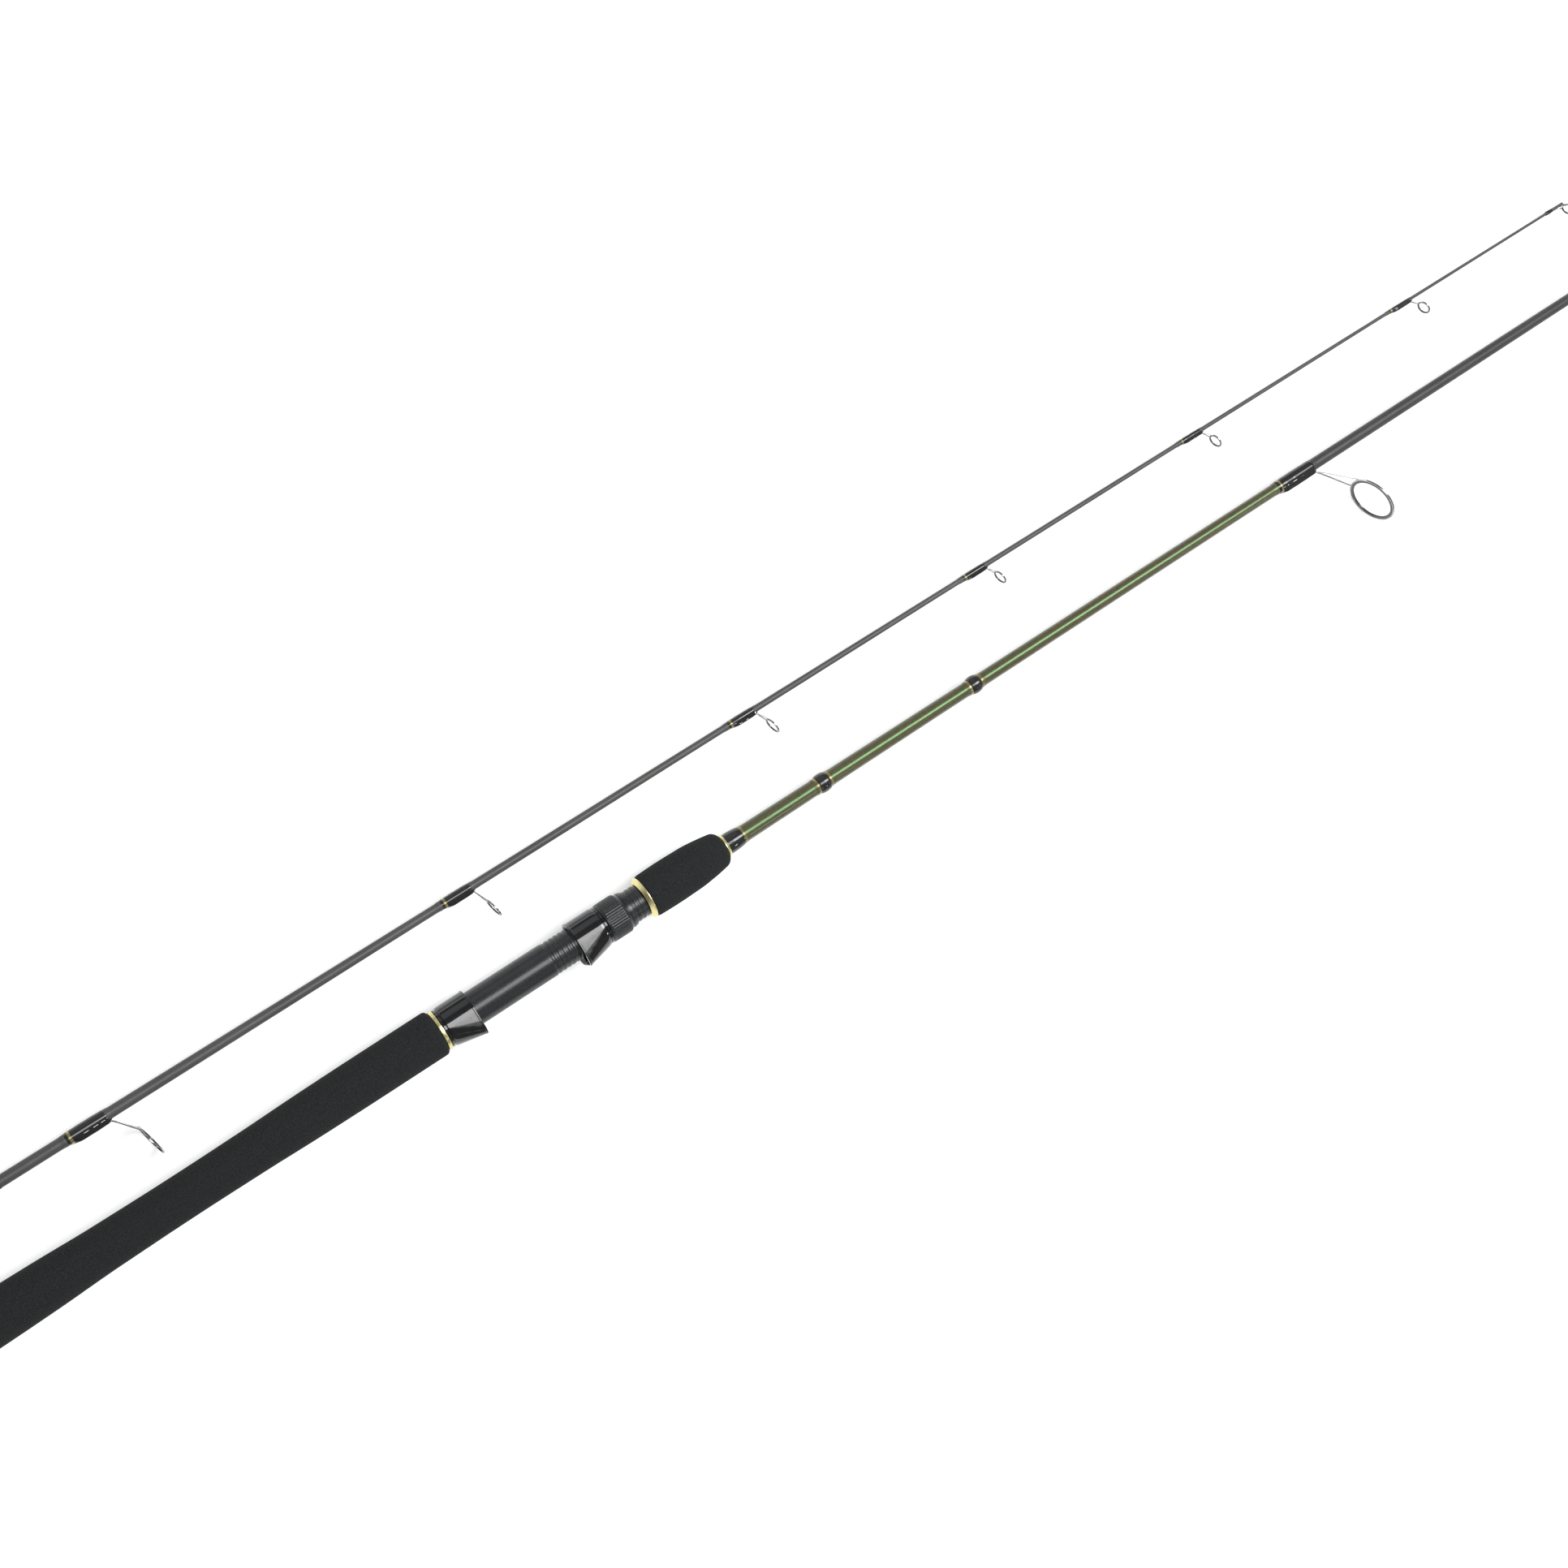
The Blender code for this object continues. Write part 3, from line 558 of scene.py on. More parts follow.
def end_windings():
    """The windings at both ends of the tip section, and the ferrule's trim."""
    body = "tip_section"
    for node in ("ferrule_winding", "tip_top_winding"):
        rear, front = span(node)
        line = profile(node, body)
        base = line[0][1]
        swell = max(r for _, r in line)
        places = along(rear, front, 0.5 * MM)
        part = (places - rear) / (front - rear)
        outer = base + (swell + 0.05 * MM - base) * np.sin(math.pi * part) ** 0.4
        inner = base - 0.12 * MM
        outline = [(x, r, 0) for x, r in zip(places, outer)]
        outline += [(front, inner, 0), (rear, inner, 0)]
        turned(node + "_fine", node, body, outline, TIP_SIDES)
    node = "ferrule_winding_trim"
    trim(node, body, profile(node, body)[0][1], TIP_SIDES)


# ---------------------------------------------------------------- windings

TRIM_WRAPS = 5
BEDDED = 0.03 * MM           # how far a winding's inside stands off the blank


def trim(node, body, outer, sides):
    """A few wraps of metallic thread side by side, bedded in resin."""
    start, end = span(node)
    places = along(start, end, (end - start) / (TRIM_WRAPS * 6))
    turn = (places - start) / (end - start) * TRIM_WRAPS
    edge = 1 - smooth(np.minimum(places - start, end - places) / (0.25 * MM))
    bulge = abs(np.sin(math.pi * turn))
    radius = outer + 0.03 * MM * bulge - 0.12 * MM * edge
    outline = [(x, r, 0) for x, r in zip(places, radius)]
    outline += [(end, outer - 0.3 * MM, 0), (start, outer - 0.3 * MM, 0)]
    turned(node + "_fine", node, body, outline, sides)


def wound_band(node, body, swell, rear_coat, front_coat, sides):
    """A short band of black thread under resin that swells between its ends."""
    start, end = span(node)
    places = along(start, end, 0.3 * MM)
    part = (places - start) / (end - start)
    coat = rear_coat + (front_coat - rear_coat) * part + swell * (4 * part * (1 - part)) ** 0.8
    radius = blank_radius(body, places)
    outline = [(x, r, 0) for x, r in zip(places, radius + coat)]
    outline += [(x, r + BEDDED, 0) for x, r in zip(places[::-8], radius[::-8])]
    outline.append((start, radius[0] + BEDDED, 0))
    turned(node + "_fine", node, body, outline, sides)


def butt_windings():
    """The three bands in front of the handle, with their trims."""
    body = "butt_section"
    wound_band("grip_winding", body, 0.40 * MM, 0.95 * MM, 0.42 * MM, BUTT_SIDES)
    wound_band("middle_winding", body, 0.72 * MM, 0.45 * MM, 0.45 * MM, BUTT_SIDES)
    wound_band("front_winding", body, 0.90 * MM, 0.45 * MM, 0.45 * MM, BUTT_SIDES)
    for node in [n for n in OWNERS if n.endswith("_trim") and OWNERS[n] == body]:
        if node != "guide_1_trim":
            x = centre_of(node).x
            trim(node, body, blank_radius(body, [x])[0] + 0.36 * MM, BUTT_SIDES)


FOOT_RAMP = (0.4 * MM, 8.0 * MM)    # from a winding's rear end: where it climbs the foot
RESIN_WAVES = [(7.3 * MM, 0.030 * MM), (4.1 * MM, 0.006 * MM)]   # pitch and height
FULL_COAT_BLANK = 4.5 * MM          # on blanks thinner than this the coat is thinner too
NOSE = {"half_width": 0.3 * MM, "corner": 0.25 * MM}     # of the hull over a foot, at its start


def guide_winding(name, body, foot, sides):
    """Thread over a guide's foot under resin: thin at the rear, full in the middle."""
    node = name + "_winding"
    start, end = span(node)
    length = end - start
    ends = [0.12 * MM, 0.3 * MM, 0.55 * MM, 0.9 * MM, 1.4 * MM]
    d = np.concatenate([[0.0], ends, along(1.8 * MM, length - 1.8 * MM, 0.4 * MM),
                        length - np.array(ends[::-1]), [length]])
    full = smooth(d / (2.6 * MM)) * smooth((length - d) / (1.8 * MM))
    coat = 0.08 * MM + 0.42 * MM * full + 0.22 * MM * np.sin(math.pi * d / length)
    phase = 2.1 * start / MM
    for pitch, wave in RESIN_WAVES:
        phase *= 1.7
        coat += wave * full * np.cos(2 * math.pi * d / pitch + phase)
    blank = blank_radius(body, start + d)
    coat *= min(1.0, blank[0] / FULL_COAT_BLANK) ** 0.5
    climb = smooth((d - FOOT_RAMP[0]) / (FOOT_RAMP[1] - FOOT_RAMP[0]))
    top = blank + (foot["top"] - blank + foot["sink"]) * climb - foot["sink"]
    half_width = NOSE["half_width"] + (foot["half_width"] - NOSE["half_width"]) * climb
    corner = NOSE["corner"]
    outer = [hull(r + c, t + c, w + c, corner + c, sides)
             for r, c, t, w in zip(blank, coat, top, half_width)]
    inner = [hull(r + 0.02 * MM, t, w, corner, sides)
             for r, t, w in zip(blank[::-6], top[::-6], half_width[::-6])]
    rows = np.array(outer + inner)
    places = np.concatenate([start + d, (start + d)[::-6]])
    place(node + "_fine", skin(node, body, places, rows), body, node)
    x = centre_of(name + "_trim").x - start
    at = np.interp(x, d, coat) + np.interp(x, d, blank)
    trim(name + "_trim", body, at + 0.06 * MM, sides)


# ---------------------------------------------------------------- line guides

RING_LEAN = math.radians(12)
RING_SIDES = 96
LEG_SPREAD = math.radians(30)       # each leg meets the hoop this far round from the blank
STAY_SPREAD = math.radians(62)      # and each of the tip top's stays this far
STAY = 0.6 * MM
# Sizes with a fixed part and a share of the hoop's diameter.
HOOP_DEPTH = (0.3 * MM, 0.021)
HOOP_WIDTH = (0.7 * MM, 0.020)
INSERT_DEPTH = (0.3 * MM, 0.045)
LEG_THICKNESS = (0.5 * MM, 0.012)
FOOT_HALF_WIDTH = (0.6 * MM, 0.035)
SEAT_GAP = 0.03 * MM                # between hoop and insert
FOOT_START = 6.0 * MM               # from the winding's rear end
FOOT_PAST = 0.8 * MM                # beyond its front end
FOOT_COVER = 0.1 * MM               # thread over the foot, before the resin
FOOT_STEPS = 10


def sized(size, diameter):
    fixed, share = size
    return fixed + share * diameter


class Ring:
    """A leaning ring: its centre, its sizes, and its axes outwards, sideways and along."""

    def __init__(self, ring_node, frame_node):
        self.centre = centre_of(ring_node)
        low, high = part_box(frame_node)
        self.diameter = high.z - low.z
        self.radius = self.diameter / 2
        self.band = sized(HOOP_DEPTH, self.diameter)
        self.width = sized(HOOP_WIDTH, self.diameter)
        self.insert = sized(INSERT_DEPTH, self.diameter)
        self.out = Vector((math.sin(RING_LEAN), -math.cos(RING_LEAN), 0))
        self.side = Vector((0, 0, 1))
        self.along = Vector((math.cos(RING_LEAN), math.sin(RING_LEAN), 0))

    def spot(self, angle, radius, along=0.0):
        """A point at an angle from the place nearest the blank."""
        flat = self.side * math.sin(angle) - self.out * math.cos(angle)
        return self.centre + flat * radius + self.along * along

    def swept(self, name, corners):
        """Sweep a closed outline of (along, radius, fillet) corners round the ring."""
        section = softened(corners)
        count = len(section)
        verts = []
        faces = []
        for step in range(RING_SIDES):
            angle = 2 * math.pi * step / RING_SIDES
            verts += [self.spot(angle, radius, shift) for shift, radius in section]
            a, b = step * count, (step + 1) % RING_SIDES * count
            faces += [(a + j, b + j, b + (j + 1) % count, a + (j + 1) % count)
                      for j in range(count)]
        mesh = bpy.data.meshes.new(name)
        mesh.from_pydata([tuple(v) for v in verts], [], faces)
        return mesh

    def band_mesh(self, name):
        """Rolled steel hoop with a rounded outside."""
        outer, half = self.radius, self.width / 2
        inner = outer - self.band
        soft = self.band * 0.45
        return self.swept(name, [(-half, outer - soft * 0.6, soft), (-half * 0.5, outer, soft),
                                 (half * 0.5, outer, soft), (half, outer - soft * 0.6, soft),
                                 (half, inner, soft * 0.5), (-half, inner, soft * 0.5)])

    def insert_mesh(self, name):
        """Ceramic ring, rounded where the line runs, seated in the hoop."""
        outer = self.radius - self.band - SEAT_GAP
        inner = outer - self.insert
        half = 0.56 * self.width
        soft = self.insert
        return self.swept(name, [(-half * 0.8, outer, 0.2 * MM), (half * 0.8, outer, 0.2 * MM),
                                 (half, outer - 0.35 * self.insert, soft * 0.3),
                                 (half * 0.75, inner, soft), (-half * 0.75, inner, soft),
                                 (-half, outer - 0.35 * self.insert, soft * 0.3)])


def strip(name, path, widths, thicknesses, sides=16):
    """A bar with rounded edges along a path in space, its width across the guide's plane."""
    verts = []
    faces = []
    for i, spot in enumerate(path):
        ahead = path[min(i + 1, len(path) - 1)] - path[max(i - 1, 0)]
        ahead = ahead.normalized()
        side = Vector((0, 0, 1))
        side = (side - ahead * side.dot(ahead)).normalized()
        up = ahead.cross(side)
        for k in range(sides):
            angle = 2 * math.pi * k / sides
            c, s = math.cos(angle), math.sin(angle)
            across = math.copysign(abs(c) ** 0.5, c) * widths[i] / 2
            rise = math.copysign(abs(s) ** 0.5, s) * thicknesses[i] / 2
            verts.append(spot + side * across + up * rise)
    for i in range(len(path) - 1):
        a, b = i * sides, (i + 1) * sides
        faces += [(a + k, a + (k + 1) % sides, b + (k + 1) % sides, b + k) for k in range(sides)]
    faces.append(tuple(range(sides))[::-1])
    faces.append(tuple(range(len(path) * sides - sides, len(path) * sides)))
    mesh = bpy.data.meshes.new(name)
    mesh.from_pydata([tuple(v) for v in verts], [], faces)
    mesh.validate()
    return mesh


def bend(start, lead, end, arrive, count=18):
    """A cubic curve from start to end, leaving along lead and arriving along arrive."""
    spots = []
    for k in range(count + 1):
        t = k / count
        spots.append(start * (1 - t) ** 3 + (start + lead) * (3 * t * (1 - t) ** 2)
                     + (end - arrive) * (3 * t * t * (1 - t)) + end * t ** 3)
    return spots


def welded(name, meshes):
    """One closed mesh from several that run into each other."""
    pieces = []
    for mesh in meshes:
        piece = bpy.data.objects.new(name, mesh)
        bpy.context.scene.collection.objects.link(piece)
        pieces.append(piece)
    base = pieces[0]
    for other in pieces[1:]:
        join = base.modifiers.new("join", "BOOLEAN")
        join.operation = "UNION"
        join.solver = "EXACT"
        join.object = other
    bpy.context.view_layer.update()
    solid = base.evaluated_get(bpy.context.evaluated_depsgraph_get())
    joined = bpy.data.meshes.new_from_object(solid)
    for piece in pieces:
        bpy.data.objects.remove(piece)
    return joined


def line_guide(name, body, sides):
    """A single-foot guide: foot under a winding, two legs, a leaning hoop and its insert."""
    ring = Ring(name + "_ring", name + "_frame")
    rear, front = span(name + "_winding")
    y, z = axis_of(body)
    thickness = sized(LEG_THICKNESS, ring.diameter)
    half_width = sized(FOOT_HALF_WIDTH, ring.diameter)
    middle = blank_radius(body, [rear])[0] + CLEARANCE + thickness / 2
    foot = {"top": middle + thickness / 2 + FOOT_COVER, "half_width": half_width + FOOT_COVER,
            "sink": 0.15 * MM}
    guide_winding(name, body, foot, sides)

    def on_foot(x, side=0.0):
        return Vector((x, y - middle, z + side))

    foot_start, foot_end = rear + FOOT_START, front + FOOT_PAST
    steps = range(FOOT_STEPS + 1)
    path = [on_foot(foot_start + (foot_end - foot_start) * k / FOOT_STEPS) for k in steps]
    slim = [min(1.0, 0.45 + 0.12 * k) for k in steps]
    parts = [ring.band_mesh(name + "_hoop"),
             strip(name + "_foot", path, [2 * half_width * s for s in slim],
                   [thickness * s for s in slim])]
    for sign in (-1, 1):
        start = on_foot(front - 0.6 * MM, sign * half_width * 0.5)
        end = ring.spot(sign * LEG_SPREAD, ring.radius - ring.band * 0.5)
        reach = (end - start).length
        path = bend(start, Vector((0.08 * reach, 0, 0)), end,
                    (end - start).normalized() * 0.4 * reach)
        count = len(path)
        widths = [half_width * (1.05 - 0.25 * k / (count - 1)) for k in range(count)]
        thin = [thickness * (1.0 - 0.25 * k / (count - 1)) for k in range(count)]
        parts.append(strip(name + "_leg", path, widths, thin))
    place(name + "_frame_fine", welded(name + "_frame", parts), body, name + "_frame")
    place(name + "_ring_fine", ring.insert_mesh(name + "_ring"), body, name + "_ring")


TUBE_SIDES = 32


def tip_top():
    """Tube, ring and two stays at the very tip."""
    body = "tip_section"
    ring = Ring("tip_top_ring", "tip_top_frame")
    end = span("tip_blank")[1]
    rear = span("tip_top_frame")[0]
    y, z = TIP_AXIS
    bore = blank_radius(body, [rear])[0] + 0.06 * MM
    outside = bore + 0.35 * MM
    nose, inside = end + 1.2 * MM, end + 0.2 * MM
    outline = [(rear, outside, 0.12 * MM), (end + 0.9 * MM, outside, 0.5 * MM),
               (nose, 0.3 * MM, 0.2 * MM), (nose, 0.05 * MM, 0),
               (inside, 0.05 * MM, 0), (inside, bore, 0), (rear, bore, 0)]
    line = softened(outline)
    tube = skin("tip_tube", body, line[:, 0], np.repeat(line[:, 1:], TUBE_SIDES, axis=1))
    parts = [ring.band_mesh("tip_top_hoop"), tube]
    for sign in (-1, 1):
        start = Vector((rear + 4.5 * MM, y - outside * 0.75, z + sign * outside * 0.4))
        finish = ring.spot(sign * STAY_SPREAD, ring.radius - ring.band * 0.5)
        path = bend(start, Vector((2 * MM, 0, 0)), finish,
                    (finish - start).normalized() * 2 * MM)
        thick = [STAY] * len(path)
        parts.append(strip("tip_top_stay", path, thick, thick))
    place("tip_top_frame_fine", welded("tip_top_frame", parts), body, "tip_top_frame")
    place("tip_top_ring_fine", ring.insert_mesh("tip_top_ring"), body, "tip_top_ring")


# ---------------------------------------------------------------- grips, cap and checks

HANDLE_SIDES = 96
GRIP_LEAST = 8.5 * MM        # a grip's outside is wider than this, and its bore narrower
SHOULDER_STEPS = 10


def grip(node, ring, rear_fillet, reach, front_radius, swell=0.0):
    """A turned foam grip up to a ring, with a shoulder that rounds over a reach at its front."""
    body = "butt_section"
    start, end = span(node)[0], span(ring)[0] - 0.05 * MM
    stations = [s for s in profile(node, body, GRIP_LEAST) if s[0] < end - 1.9 * MM]
    places = along(start, end - reach, 2 * MM)
    part = (places - start) / (end - start)
    radius = curve(stations, places) + swell * smooth((part - 0.45) / 0.45)
    bore = blank_radius(body, [start, end]) + CLEARANCE
    outline = [(start, radius[0] - rear_fillet * 0.3, rear_fillet)]
    outline += [(x, r, 0) for x, r in zip(places[1:], radius[1:])]
    slope = (radius[-1] - radius[-2]) / (places[-1] - places[-2])
    for step in range(1, SHOULDER_STEPS + 1):
        turn = math.pi / 2 * step / SHOULDER_STEPS
        x = end - reach * (1 - math.sin(turn))
        edge = radius[-1] + slope * (x - places[-1])
        outline.append((x, front_radius + (edge - front_radius) * math.cos(turn), 0))
    outline += [(end - 0.3 * MM, bore[1], 0), (start, bore[0], 0)]
    piece = turned(node + "_foam", node, body, outline, HANDLE_SIDES)


def butt_cap():
    """Rubber cap: a rounded end with a shallow dish, and three grooves round its side."""
    body = "butt_section"
    start, end = span("butt_cap")
    radius = max(r for _, r in profile("butt_cap", body))
    dish, inside, bore = 0.4 * MM, 3.0 * MM, 6.7 * MM
    axis = 0.01 * MM
    outline = [(dish, axis, 0), (dish, 8.6 * MM, 0.4 * MM), (start, 9.2 * MM, 0.3 * MM),
               (start, radius - 0.7 * MM, 1.6 * MM), (2.4 * MM, radius, 1.0 * MM)]
    for x in (4.2 * MM, 6.2 * MM, 8.2 * MM):
        for away, depth in ((-0.35, 0), (-0.15, 0.4), (0.15, 0.4), (0.35, 0)):
            outline.append((x + away * MM, radius - depth * MM, 0.15 * MM))
    outline += [(end, radius - 0.1 * MM, 0.6 * MM), (end, bore, 0.1 * MM),
                (inside, bore, 0.1 * MM), (inside, axis, 0)]
    turned("butt_cap_rubber", "butt_cap", body, outline, HANDLE_SIDES)


def check_ring(node, rear_radius, front_radius, soft):
    """A polished ring at the end of a grip, with rounded edges."""
    start, end = span(node)
    body = "butt_section"
    bore = blank_radius(body, [start])[0] + CLEARANCE
    width = end - start
    shoulder = rear_radius + 0.3 * (front_radius - rear_radius) + 0.05 * MM
    outline = [(start, rear_radius - 0.15 * MM, soft),
               (start + 0.3 * width, shoulder, 0.3 * MM), (end - 0.2 * width, front_radius, soft),
               (end, front_radius - 0.1 * MM, soft), (end, bore, 0.1 * MM),
               (start, bore, 0.1 * MM)]
    turned(node + "_fine", node, body, outline, HANDLE_SIDES)


def grips():
    """Both foam grips, the butt cap and the three gold rings."""
    grip("rear_grip", "rear_check", 0.8 * MM, 2.5 * MM, 10.8 * MM)
    grip("fore_grip", "winding_check", 0.6 * MM, 4.0 * MM, 6.9 * MM, swell=0.45 * MM)
    butt_cap()
    check_ring("rear_check", 11.9 * MM, 11.9 * MM, 0.35 * MM)
    check_ring("front_check", 10.7 * MM, 12.9 * MM, 0.30 * MM)
    check_ring("winding_check", 7.7 * MM, 7.0 * MM, 0.35 * MM)


# ---------------------------------------------------------------- reel seat

SEAT_SIDES = 96
THREAD_PITCH = 3.0 * MM
THREAD_START = 380.0 * MM
THREAD_ROOT = 9.55 * MM
THREAD_CREST = 9.9 * MM
RIDGE_WIDTH = 0.27           # half of a thread ridge, in pitches
RIDGE_SLOPE = 0.09           # and the length of its side
BARREL_BORE = 8.0 * MM
EDGE_SHARPNESS = 48          # of the edges between the barrel and its bed
BARREL_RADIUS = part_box("reel_seat_barrel")[1].y
FOOT_BED = -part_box("reel_seat_barrel")[0].y


def barrel():
    """The reel seat's tube: smooth, then threaded, with a flat bed for the reel's foot."""
    node, body = "reel_seat_barrel", "butt_section"
    start, end = span(node)
    phi = angles(SEAT_SIDES)
    smooth_part = along(start + 0.4 * MM, THREAD_START - 1.5 * MM, 3 * MM)
    threaded = along(THREAD_START - 1.0 * MM, end - 0.2 * MM, THREAD_PITCH / 16)
    places = np.concatenate([[start, start + 0.1 * MM], smooth_part, threaded, [end]])
    turn = (places[:, None] - THREAD_START) / THREAD_PITCH - phi[None, :] / (2 * math.pi)
    wave = abs(turn % 1.0 - 0.5)
    ridge = smooth((RIDGE_WIDTH - wave) / RIDGE_SLOPE + 0.5)
    thread = THREAD_ROOT + (THREAD_CREST - THREAD_ROOT) * ridge
    onset = smooth((places - THREAD_START + 1.0 * MM) / (1.0 * MM))[:, None]
    round_radius = BARREL_RADIUS + (thread - BARREL_RADIUS) * onset
    round_radius[0] -= 0.3 * MM
    round_radius[1] -= 0.1 * MM
    round_radius[-1] -= 0.3 * MM
    facing = np.cos(phi)
    flat = np.where(facing > 0.3, FOOT_BED / np.maximum(facing, 0.3), 1.0)[None, :]
    outer = (round_radius ** -EDGE_SHARPNESS + flat ** -EDGE_SHARPNESS) ** (-1 / EDGE_SHARPNESS)
    bore = np.full((2, SEAT_SIDES), BARREL_BORE)
    mesh = skin(node, body, np.concatenate([places, [end, start]]), np.vstack([outer, bore]))
    place("reel_seat_barrel_fine", mesh, body, node)


HOOD_SIDES = 168
HOOD_RADIUS = 12.2 * MM
HOOD_BORE = {"fixed_hood": 10.3 * MM, "moving_hood": 10.0 * MM}
# Outside of a hood at its mouth, and of the pocket inside it.
MOUTH_TOP = 14.7 * MM
MOUTH_HALF_WIDTH = 12.1 * MM
MOUTH_CORNER = 5.0 * MM
CROWN = 0.06 * MM            # how far its flat sides are rounded off
ROOF = 0.75 * MM             # thickness over the pocket
POCKET_HALF_WIDTH = 6.2 * MM
POCKET_CORNER = 2.0 * MM
LIP = 0.9 * MM               # width of the bead round the mouth
GROWTH_START = 2.2 * MM      # from the closed end: where the nose begins to grow
FLARE = 1.8 * MM             # depth over which the pocket widens to its mouth


def hood(node, body, facing):
    """A glossy hood with a pocket for the reel's foot, open to the front if facing is 1.

    Distances are from its closed end.
    """
    start, end = span(node)
    length = end - start
    bore = HOOD_BORE[node]
    bead = length - LIP
    line = softened([(0, -1.0 * MM, 0), (0.1 * MM, -0.5 * MM, 0.15 * MM),
                     (1.2 * MM, -0.5 * MM, 0.12 * MM), (1.35 * MM, -0.95 * MM, 0.12 * MM),
                     (1.75 * MM, -0.95 * MM, 0.12 * MM), (1.95 * MM, -0.25 * MM, 0.35 * MM),
                     (3.5 * MM, 0, 1.0 * MM), (bead - 0.25 * MM, 0, 0.12 * MM),
                     (bead, 0.22 * MM, 0.15 * MM), (length - 0.1 * MM, 0.22 * MM, 0.2 * MM),
                     (length, -0.1 * MM, 0)], closed=False, arc=4)
    d = np.unique(np.round(np.concatenate([line[:, 0], along(4 * MM, bead, 0.6 * MM)]), 7))

    def grown(x):
        return np.clip((x - GROWTH_START) / (bead - GROWTH_START), 0, 1)

    rows = [hull(HOOD_RADIUS + more, MOUTH_TOP + more, MOUTH_HALF_WIDTH + more,
                 MOUTH_CORNER + more, HOOD_SIDES, part, CROWN)
            for part, more in zip(grown(d), np.interp(d, line[:, 0], line[:, 1]))]
    mouth = length - np.array([0.0, 0.3, 0.7, 1.2, 1.8]) * MM
    deep = np.concatenate([mouth, along(8 * MM, length - 3 * MM, 1.2 * MM)[::-1]])
    for x in deep:
        roof = HOOD_RADIUS + (MOUTH_TOP - HOOD_RADIUS) * grown(x) - ROOF
        flare = smooth((x - length + FLARE) / FLARE)
        rows.append(hull(bore + 0.9 * MM * flare, roof + 0.15 * MM * flare,
                         POCKET_HALF_WIDTH + 4.2 * MM * flare, POCKET_CORNER + 2.0 * MM * flare,
                         HOOD_SIDES))
    closed_end = np.array([4.5, 4.0, 0.2, 0.0]) * MM
    for x in closed_end:
        rows.append(np.full(HOOD_SIDES, bore + (0.15 * MM if x == 0 else 0.0)))
    distance = np.concatenate([d, deep, closed_end])
    rows = np.array(rows)
    if facing > 0:
        places = start + distance
    else:
        places, rows = (end - distance)[::-1], rows[::-1]
    place(node + "_fine", skin(node, body, places, rows), body, node)


NUT_RIBS = 44
NUT_BORE = 10.0 * MM
RIB_SPAN = (1.5 * MM, 13.0 * MM)
GROOVE = [1.0, 0.62, 0.22, 0.05, 0.0, 0.05, 0.22, 0.62]      # across one groove and one rib
GROOVE_DEPTH = 0.24 * MM


def lock_nut():
    """The ribbed nut in front of the moving hood, between a smooth ring and a collar."""
    node, body = "lock_nut", "nut"
    start, end = span(node)
    line = softened([(0, 11.1 * MM, 0), (0.1 * MM, 11.4 * MM, 0.15 * MM),
                     (0.9 * MM, 12.0 * MM, 0.3 * MM), (1.25 * MM, 12.0 * MM, 0.15 * MM),
                     (1.35 * MM, 11.75 * MM, 0.1 * MM), (1.55 * MM, 11.75 * MM, 0.1 * MM),
                     (1.7 * MM, 12.0 * MM, 0.2 * MM), (12.1 * MM, 12.0 * MM, 0.6 * MM),
                     (13.2 * MM, 11.2 * MM, 0.3 * MM), (13.9 * MM, 10.8 * MM, 0.15 * MM),
                     (14.2 * MM, 10.7 * MM, 0.1 * MM), (14.5 * MM, 10.7 * MM, 0.1 * MM),
                     (14.7 * MM, 11.1 * MM, 0.2 * MM), (17.1 * MM, 10.5 * MM, 0.3 * MM),
                     (17.3 * MM, 10.2 * MM, 0)], closed=False, arc=4)
    extra = along(2 * MM, 12.4 * MM, 0.8 * MM)
    d = np.unique(np.round(np.concatenate([line[:, 0], extra]), 7))
    radius = np.interp(d, line[:, 0], line[:, 1])
    fade = smooth((d - RIB_SPAN[0]) / (0.5 * MM)) * smooth((RIB_SPAN[1] - d) / (1.0 * MM))
    groove = np.tile(GROOVE, NUT_RIBS)
    outer = radius[:, None] - GROOVE_DEPTH * fade[:, None] * groove[None, :]
    bore = np.full((4, len(groove)), NUT_BORE)
    bore[0] += 0.2 * MM
    bore[-1] += 0.2 * MM
    inner = [end - start, end - start - 0.2 * MM, 0.2 * MM, 0.0]
    mesh = skin(node, body, start + np.concatenate([d, inner]), np.vstack([outer, bore]))
    place("lock_nut_fine", mesh, body, node)


# ---------------------------------------------------------------- the stage

FLOOR_REACH = 9.0


def floor():
    """A pale paper floor at the part's lowest point, faintly bright of itself."""
    low, reach = cad_box[0][2], FLOOR_REACH
    mesh = bpy.data.meshes.new("floor")
    corners = [(-reach, -reach, low), (reach, -reach, low), (reach, reach, low),
               (-reach, reach, low)]
    mesh.from_pydata(corners, [], [(0, 1, 2, 3)])
    made = new_material("floor_paper", (0.5, 0.5, 0.5), 0.95, Specular_IOR_Level=0.1,
                        Emission_Color=(1, 1, 1, 1), Emission_Strength=0.56)
    n = Nodes(made)
    n.tint(n.noise(3, 3), (0.49, 0.49, 0.49), (0.51, 0.51, 0.505))
    mesh.materials.append(made)
    piece = bpy.data.objects.new("floor", mesh)
    bpy.context.scene.collection.objects.link(piece)


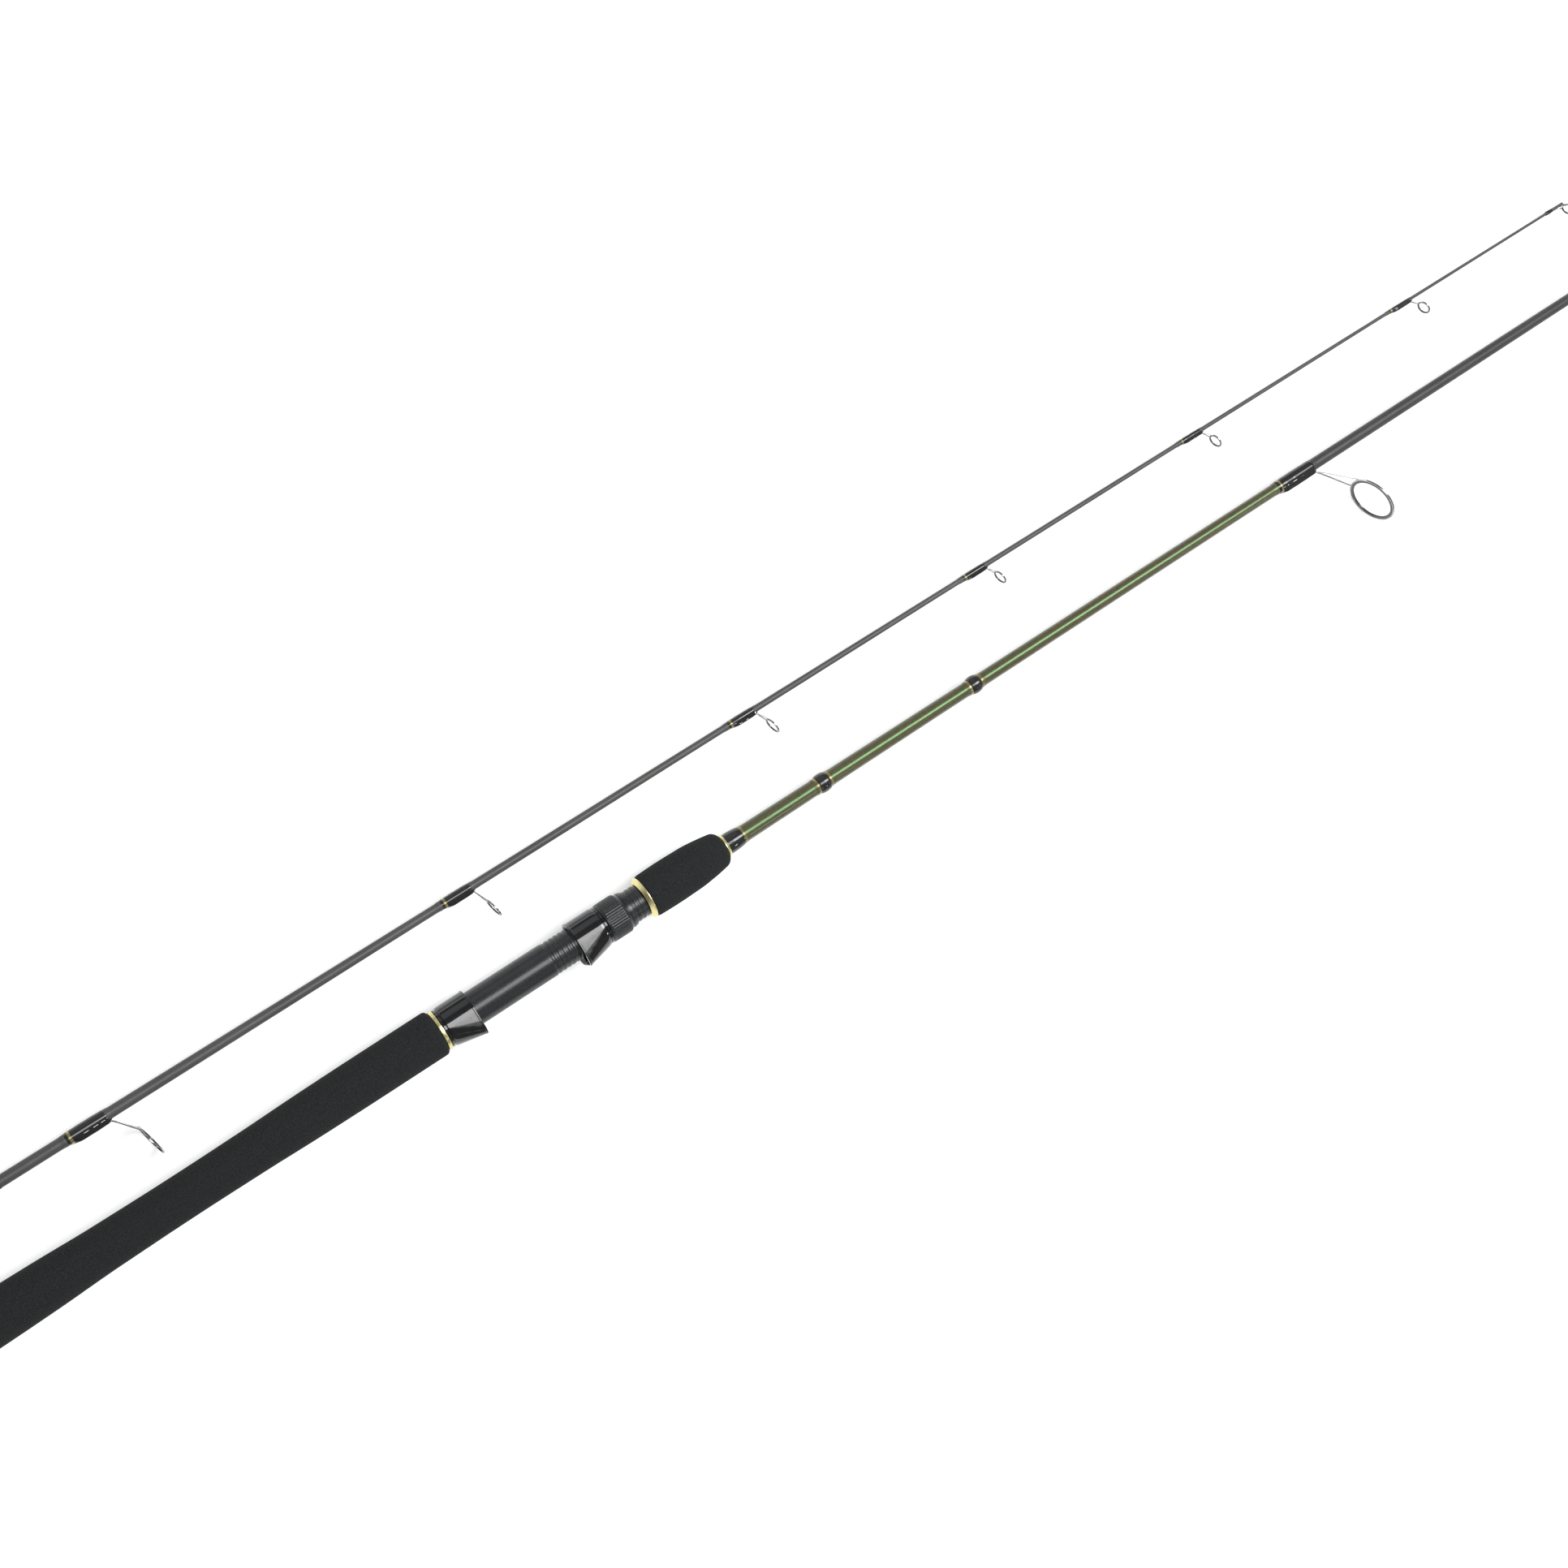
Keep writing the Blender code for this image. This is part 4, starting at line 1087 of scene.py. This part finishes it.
def lamp(name, spot, target, width, height, radiance, colour=(1, 1, 1)):
    """A soft rectangular light facing a target, its width along X where it can be."""
    light = bpy.data.lights.new(name, "AREA")
    light.shape = "RECTANGLE"
    light.size, light.size_y = width, height
    light.energy = radiance * math.pi * width * height
    light.color = colour
    made = bpy.data.objects.new(name, light)
    aim = (Vector(target) - Vector(spot)).normalized()
    across = Vector((1, 0, 0))
    across = (across - aim * across.dot(aim)).normalized()
    up = (-aim).cross(across)
    turn = Matrix((across, up, -aim)).transposed().to_4x4()
    made.matrix_world = Matrix.Translation(Vector(spot)) @ turn
    bpy.context.scene.collection.objects.link(made)


COOL_WHITE = (0.95, 0.98, 1.0)


def lights():
    """Two softboxes overhead, a fill opposite the guides, and three small lamps on their side."""
    world = bpy.data.worlds.new("studio")
    world.use_nodes = True
    sky = world.node_tree.nodes["Background"]
    fill_sockets(sky, {"Color": (*COOL_WHITE, 1), "Strength": 0.22})
    bpy.context.scene.world = world
    lamp("softbox", (1.15, 0.06, 1.9), (1.15, 0.04, 0), 2.9, 0.72, 6.5)
    lamp("softbox_front", (1.55, 0.05, 1.8), (0.7, 0.03, 0), 0.9, 0.80, 6.2)
    lamp("fill", (0.6, 2.2, 1.3), (0.6, 0, 0), 2.6, 1.4, 0.45, COOL_WHITE)
    for number in range(3):
        x = 0.1 + number
        lamp(f"small_lamp_{number}", (x, -1.5, 1.05), (x * 0.5 + 0.3, 0, 0), 0.12, 0.12, 34)


CAMERA_SPOT = Vector((0.1920, 0.1412, 1.1086))
CAMERA_AIM = Vector((0.30581, -0.11061, -0.94565))
CAMERA_UP = Vector((0.51525, 0.85444, 0.06668))
LENS = 46.24


def camera():
    """The camera over the reel seat, looking steeply down along the rod."""
    data = bpy.data.cameras.new("camera")
    data.lens = LENS
    data.sensor_width = 36.0
    made = bpy.data.objects.new("camera", data)
    back = -CAMERA_AIM.normalized()
    right = CAMERA_UP.cross(back).normalized()
    turn = Matrix((right, back.cross(right), back)).transposed().to_4x4()
    made.matrix_world = Matrix.Translation(CAMERA_SPOT) @ turn
    bpy.context.scene.collection.objects.link(made)
    bpy.context.scene.camera = made


def main():
    camera()
    lights()
    floor()
    blanks()
    ferrule()
    end_windings()
    butt_windings()
    line_guide("guide_1", "butt_section", BUTT_SIDES)
    for number in range(2, 8):
        line_guide(f"guide_{number}", "tip_section", TIP_SIDES)
    tip_top()
    grips()
    barrel()
    hood("fixed_hood", "butt_section", 1)
    hood("moving_hood", "hood_slide", -1)
    lock_nut()
    for node in ("rear_arbor", "middle_arbor", "front_arbor"):
        arbor = frame["nodes"][node].data
        arbor.materials.clear()
        arbor.materials.append(MATERIALS["arbor_foam"])
    bpy.context.scene.view_settings.view_transform = "Standard"


main()
